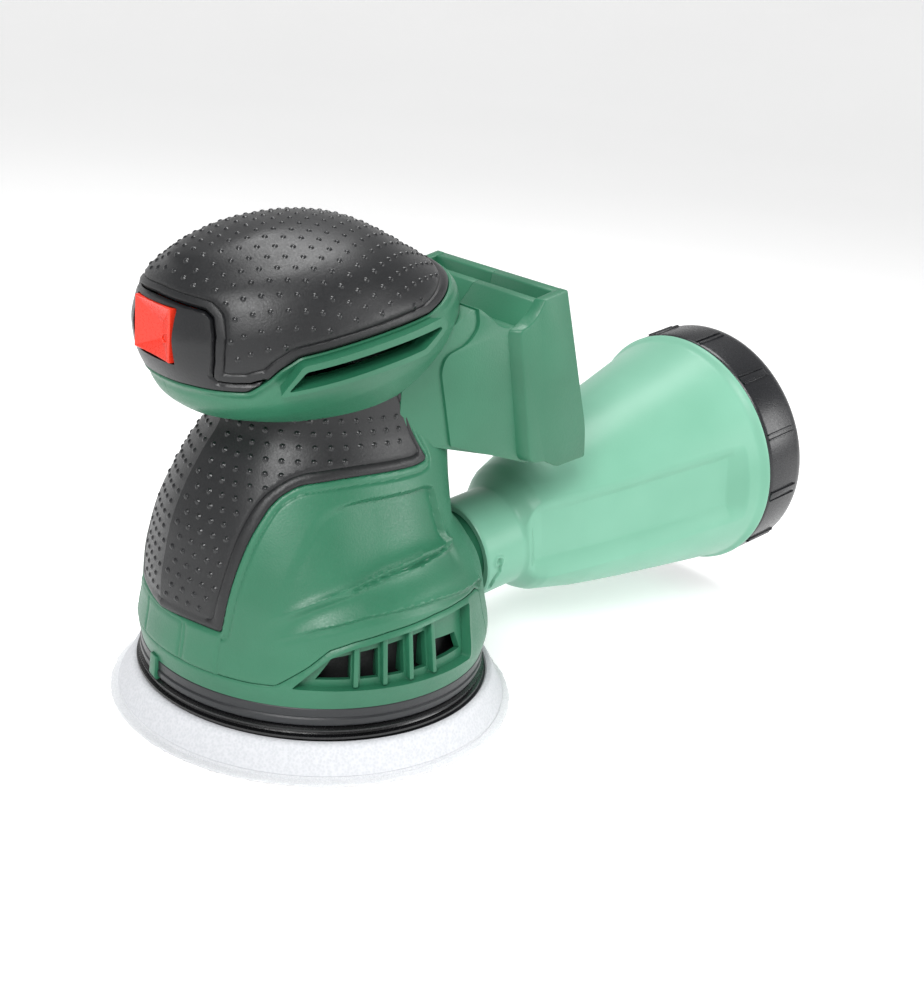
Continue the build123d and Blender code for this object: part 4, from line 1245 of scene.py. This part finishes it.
def dust_holes(obj, low, high, material):
    """Cut the pad's ring of dust holes through obj."""
    bore = [(0.01, low), (HOLE_RADIUS, low), (HOLE_RADIUS, high), (0.01, high)]
    for k in range(HOLES):
        a = 2 * PI * k / HOLES
        middle = np.array([ORBIT + HOLE_CIRCLE * math.cos(a), HOLE_CIRCLE * math.sin(a), 0])
        cut(obj, add_piece("tool", *lathe(bore, 32, (middle,) + UPRIGHT[1:]), material, None, None))


def pad_disc():
    """Abrasive disc with a soft, slightly frayed edge."""
    rng = np.random.default_rng(7)
    count = 360
    fuzz = rng.normal(0, 1, (count, 3))

    def wobble(a, j, r, h):
        k = int(round(a / (2 * PI) * count)) % count
        if r > 61:
            r = r + 0.16 * fuzz[k, j % 3] - 0.1
            h = h + 0.05 * fuzz[k, (j + 1) % 3]
        return r, h
    profile = [(3.0, 0.02), (40, 0.02), (61.5, 0.03), (62.2, 0.2), (62.4, 0.5), (62.1, 0.85),
               (61.4, 1.0), (60.2, 1.02), (59.4, 0.98), (3.0, 0.98)]
    disc = add_piece("sanding_sheet", *lathe(profile, count, PAD, wobble), FLEECE, None, None)
    disc.data.materials.append(GRIT)
    for polygon in disc.data.polygons:
        if polygon.normal.z < -0.9:
            polygon.material_index = 1
    dust_holes(disc, -3, 4, FLEECE)
    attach(disc, "pad")
    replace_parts(disc, "sanding_disc")
    return disc


pad_disc()

foam_profile = [(5.2, 2.0), (59.7, 2.0), (60.0, 2.3), (58.9, 4.0), (57.2, 7.0), (56.6, 8.6), (56.0, 9.5),
                (55.2, 9.9), (54.2, 9.9), (53.8, 9.5), (56.05, 7.5), (5.2, 7.5)]
pad_body = add_piece("pad_cushion", *lathe(foam_profile, 300, PAD), FOAM, "pad", "pad_foam")
dust_holes(pad_body, 1, 9, FOAM)
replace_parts(pad_body, "pad_foam")


# ================================================================ dust box
# distance from the mouth, outside radius
BOX_PROFILE = [
    (0, 16.6), (0.6, 17), (16.2, 17), (17, 17.3), (18.5, 18.6), (21, 20.9), (24, 22.7), (30, 24.5),
    (40, 27.6), (50, 30), (60, 32.3), (80, 36.5), (100, 40.6), (106.5, 42.0), (108.2, 43.4),
    (109.2, 43.8), (109.9, 43.5), (110.3, 41.0), (116, 41.0)]


def box_radius(t):
    return np.interp(t, *zip(*BOX_PROFILE))


def box_rise(t):
    """The canister's middle line climbs a little off the sleeve's axis."""
    return 0.035 * np.clip(np.asarray(t, float) - 17, 0, None)


def dust_box():
    rows, columns = 300, 420
    t = np.concatenate([np.linspace(0, 28, 90), np.linspace(28.3, 116, rows - 90)])
    psi = np.linspace(-PI, PI, columns, endpoint=False)
    radius = box_radius(t)
    for smoothing in range(2):
        radius[1:-1] = (radius[:-2] + 2 * radius[1:-1] + radius[2:]) / 4
    pp, tt = np.meshgrid(psi, t)
    rr = np.broadcast_to(radius[:, None], pp.shape).copy()
    # Recessed flat panel on each flank: steep upper edge, wide ledge below.
    def slope(x, low, high):
        return np.clip((x - low) / (high - low), 0, 1)
    floor_y = np.interp(tt, [17.5, 24, 40, 60, 80, 96, 102], [15.6, 16.6, 21.6, 26.6, 31.4, 35.0, 36.3])
    for flank in (-1, 1):
        y = flank * rr * np.sin(pp)
        v = rr * np.cos(pp)
        weight = slope(tt, 17.5, 20.5) * slope(-tt, -101.5, -96)
        weight = weight * slope(v, -12.2, -6.8) * slope(-v, -16.2, -13.2)
        sunk = np.minimum(rr, floor_y / np.maximum(np.abs(np.sin(pp)), 0.25))
        rr = np.where(y > 0, rr + weight * (sunk - rr), rr)
    # Locking slot pressed into the sleeve.
    slot_turns = [(-87, 4.6), (-101, 4.6), (-110, 2.6), (-122, 2.4)]
    slot_line = np.array([(17 * math.radians(p), q) for p, q in slot_turns])
    flat = np.stack([17 * pp.ravel(), tt.ravel()], 1)
    near = np.abs(flat[:, 1] - 4) < 8
    d = np.full(len(flat), 9.0)
    d[near] = line_distance(flat[near], slot_line, closed=False)
    eye = np.hypot(flat[:, 0] - slot_line[0, 0], flat[:, 1] - slot_line[0, 1])
    press = 0.9 * (1 - fade(d, 0.7, 1.1)) - 0.55 * np.exp(-((eye - 1.7) / 0.5)**2)
    rr = rr - press.reshape(rr.shape)
    shape = np.stack([rr * np.cos(pp), rr * np.sin(pp), tt], -1)
    thin = np.maximum(rr - 2.0, 1.0)
    thin = np.where(tt < 26, np.minimum(thin, 14.2 + np.clip(tt - 17, 0, 12) * 0.75), thin)
    hollow = np.stack([thin * np.cos(pp), thin * np.sin(pp), np.clip(tt, 0.4, 115.6)], -1)

    def place(local):
        up = local[..., :1] + box_rise(local[..., 2:3])
        return BOX_O + up * BOX_X + local[..., 1:2] * SIDE + local[..., 2:3] * BOX_Z
    obj = grid_shell("dust_canister", place(shape), place(hollow), CLEAR, "dust_box", "clear_green",
                     around=True)
    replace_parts(obj, "dust_box_shell")
    return obj


dust_box()


CAP = (BOX_O + box_rise(112) * BOX_X, BOX_X, SIDE, BOX_Z)


def filter_cap():
    outer = [(41.3, 110.2), (42.9, 110.1), (43.3, 110.5), (43.5, 111.5), (43.7, 124.0), (43.5, 125.6),
             (42.9, 127.0), (41.9, 127.9), (40.6, 128.2), (39.2, 127.8), (38.8, 127.0), (38.8, 125.9),
             (40.2, 125.4), (41.3, 124)]
    cap = add_piece("cap_rim", *lathe(outer, 260, CAP), SATIN, None, None)
    parts = [cap]

    def rib(psi, width, low, high, height):
        radial = math.cos(psi) * BOX_X + math.sin(psi) * SIDE
        across = -math.sin(psi) * BOX_X + math.cos(psi) * SIDE

        def place(r, t, w):
            return tuple(CAP[0] + radial * r + across * w + BOX_Z * t)
        line = [(42.4, low), (43.5 + height, low), (43.7 + height, high - 1.4), (43.4, high),
                (42.4, high)]
        return prism_piece("cap_rib", line, -width / 2, width / 2, place, SATIN, edge=0.12)
    for index in range(12):
        centre = math.radians(-8 - 30 * index)
        pair = 1.55 if index % 2 else 0.9
        for offset in (-pair, pair):
            parts.append(rib(centre + offset / 43.6, 0.55, 110.8, 124.6, 0.7))
        if index % 2:
            parts.append(rib(centre, 2.4, 110.6, 124.4, 0.35))
    # End grille: spokes and rings inside the rim.
    for ring in (8, 16, 24, 32):
        profile = [(ring - 0.9, 126.2), (ring + 0.9, 126.2), (ring + 0.9, 127.8), (ring + 0.5, 128.1),
                   (ring - 0.5, 128.1), (ring - 0.9, 127.8)]
        parts.append(add_piece("grille", *lathe(profile, 120, CAP), SATIN, None, None))
    for index in range(8):
        psi = 2 * PI * index / 8
        radial = math.cos(psi) * BOX_X + math.sin(psi) * SIDE
        across = -math.sin(psi) * BOX_X + math.cos(psi) * SIDE

        def place(r, t, w, radial=radial, across=across):
            return tuple(CAP[0] + radial * r + across * w + BOX_Z * t)
        bar = [(6, 126.3), (40.0, 126.3), (40.0, 127.9), (6, 127.9)]
        parts.append(prism_piece("spoke", bar, -0.9, 0.9, place, SATIN, edge=0.3))
    cap = joined(parts)
    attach(cap, "filter_unit")
    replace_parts(cap, "filter_cap")
    return cap


filter_cap()

seal_profile = [(39.0, 116.1), (41.0, 116.1), (41.0, 116.8), (39.0, 116.8)]
cap_ring = add_piece("cap_gasket", *lathe(seal_profile, 120, CAP), RUBBER, "filter_unit", "grip_rubber")
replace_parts(cap_ring, "cap_seal")
flange_profile = [(21.2, 125.1), (41.1, 125.1), (41.1, 126.1), (21.2, 126.1)]
core_profile = [(21.2, 84.0), (22.8, 84.0), (22.8, 125.4), (21.2, 125.4)]
back_profile = [(0.01, 82.0), (31.0, 82.0), (31.0, 84.0), (0.01, 84.0)]
basket = [add_piece("filter_basket", *lathe(flange_profile, 120, CAP), BLACK, None, None)]
basket += [add_piece("basket", *lathe(core_profile, 90, BOX), BLACK, None, None)]
basket += [add_piece("basket", *lathe(back_profile, 90, BOX), BLACK, None, None)]
basket = joined(basket)
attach(basket, "filter_unit")
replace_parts(basket, "filter_frame")


# ================================================================ CAD nodes that stay
CAD_LOOKS = {
    BLACK: ["battery_rail_plate", "contact_block", "switch_module", "motor_end_cap", "fan"],
    GREEN: ["dust_spigot"], PADPLASTIC: ["pad_plate"], FLEECE: ["hook_face"],
    ZINC: ["motor_can", "eccentric_carrier"], MAGNET: ["motor_magnets", "brushes"],
    BOARD: ["circuit_board"],
    COPPER: ["commutator", "motor_leads"], BRASS: ["contact_blades"], PAPER: ["pleated_filter"],
    STEEL: ["upper_bearing", "lower_bearing", "housing_screws", "motor_shaft", "armature",
            "spindle_bearing", "spindle", "pad_screw"],
    RUBBER: ["sleeve_seal"],
}
for look, names in CAD_LOOKS.items():
    for name in names:
        NODES[name].data.materials.clear()
        NODES[name].data.materials.append(look)

# ================================================================ floor, light, camera
def stage_plane():
    """Paper floor that sweeps up into a pale backdrop all round."""
    mesh = bpy.data.meshes.new("studio_floor")
    sweep = [(0.4, 0), (1.5, 0), (2.6, 0.05), (3.3, 0.3), (3.8, 0.8), (4.0, 1.6)]
    count = 96
    verts = [(0, 0, 0)]
    faces = []
    for k in range(count):
        turn = 2 * PI * k / count
        verts += [(r * math.cos(turn), r * math.sin(turn), z) for r, z in sweep]
    for k in range(count):
        a, b = 1 + k * len(sweep), 1 + (k + 1) % count * len(sweep)
        faces.append((0, a, b))
        faces += [(a + j, a + j + 1, b + j + 1, b + j) for j in range(len(sweep) - 1)]
    mesh.from_pydata(verts, [], faces)
    mesh.shade_smooth()
    floor = bpy.data.objects.new("studio_floor", mesh)
    bpy.context.scene.collection.objects.link(floor)
    floor.location.z = -0.0002
    material, tree, shader = new_material("paper_floor")
    place = tree.nodes.new("ShaderNodeTexCoord").outputs["Object"]
    cloud = noise(tree, 3, 2, place)
    tree.links.new(tinted(tree, cloud.outputs["Fac"], (0.79, 0.79, 0.79, 1), (0.81, 0.81, 0.81, 1)),
                   shader.inputs["Base Color"])
    shader.inputs["Roughness"].default_value = 0.9
    shader.inputs["Emission Color"].default_value = (1, 1, 1, 1)
    shader.inputs["Emission Strength"].default_value = 0.4
    mesh.materials.append(material)


stage_plane()

world = bpy.data.worlds.new("studio")
bpy.context.scene.world = world
bpy.context.scene.view_settings.view_transform = "Standard"
world.use_nodes = True
world.node_tree.nodes["Background"].inputs["Color"].default_value = (1, 1, 1, 1)
world.node_tree.nodes["Background"].inputs["Strength"].default_value = 0.42


def soft_light(name, place, target, size, power, size_y=None):
    data = bpy.data.lights.new(name, "AREA")
    data.shape = "RECTANGLE"
    data.size = size
    data.size_y = size_y or size
    data.energy = power
    lamp = bpy.data.objects.new(name, data)
    bpy.context.scene.collection.objects.link(lamp)
    lamp.location = place
    lamp.rotation_mode = "QUATERNION"
    lamp.rotation_quaternion = (Vector(target) - Vector(place)).to_track_quat("-Z", "Y")
    return lamp


soft_light("key", (-0.55, -0.5, 0.75), (0.02, 0, 0.08), 0.45, 8.0)
soft_light("top", (0.15, 0.15, 0.9), (0.02, 0, 0.08), 0.4, 4.6)
soft_light("side", (0.6, -0.7, 0.35), (0.06, 0, 0.06), 0.4, 3.0)

camera_data = bpy.data.cameras.new("camera")
camera_data.lens = 47.7
camera_data.sensor_width = 36
camera = bpy.data.objects.new("camera", camera_data)
bpy.context.scene.collection.objects.link(camera)
# Heading, pitch and roll of the camera, fitted to the photo's view.
heading, pitch, roll = math.radians(-41.872), math.radians(20.084), math.radians(6.066)
along = math.cos(pitch)
back = Vector((math.sin(heading) * along, -math.cos(heading) * along, math.sin(pitch)))
level = Vector((math.cos(heading), math.sin(heading), 0))
up = back.cross(level)
camera_right = level * math.cos(roll) + up * math.sin(roll)
camera_up = up * math.cos(roll) - level * math.sin(roll)
turn = Matrix((camera_right, camera_up, back)).transposed()
camera.matrix_world = Matrix.Translation((-0.21814, -0.30566, 0.20228)) @ turn.to_4x4()
camera_data.clip_start = 0.02
camera_data.clip_end = 20
bpy.context.scene.camera = camera
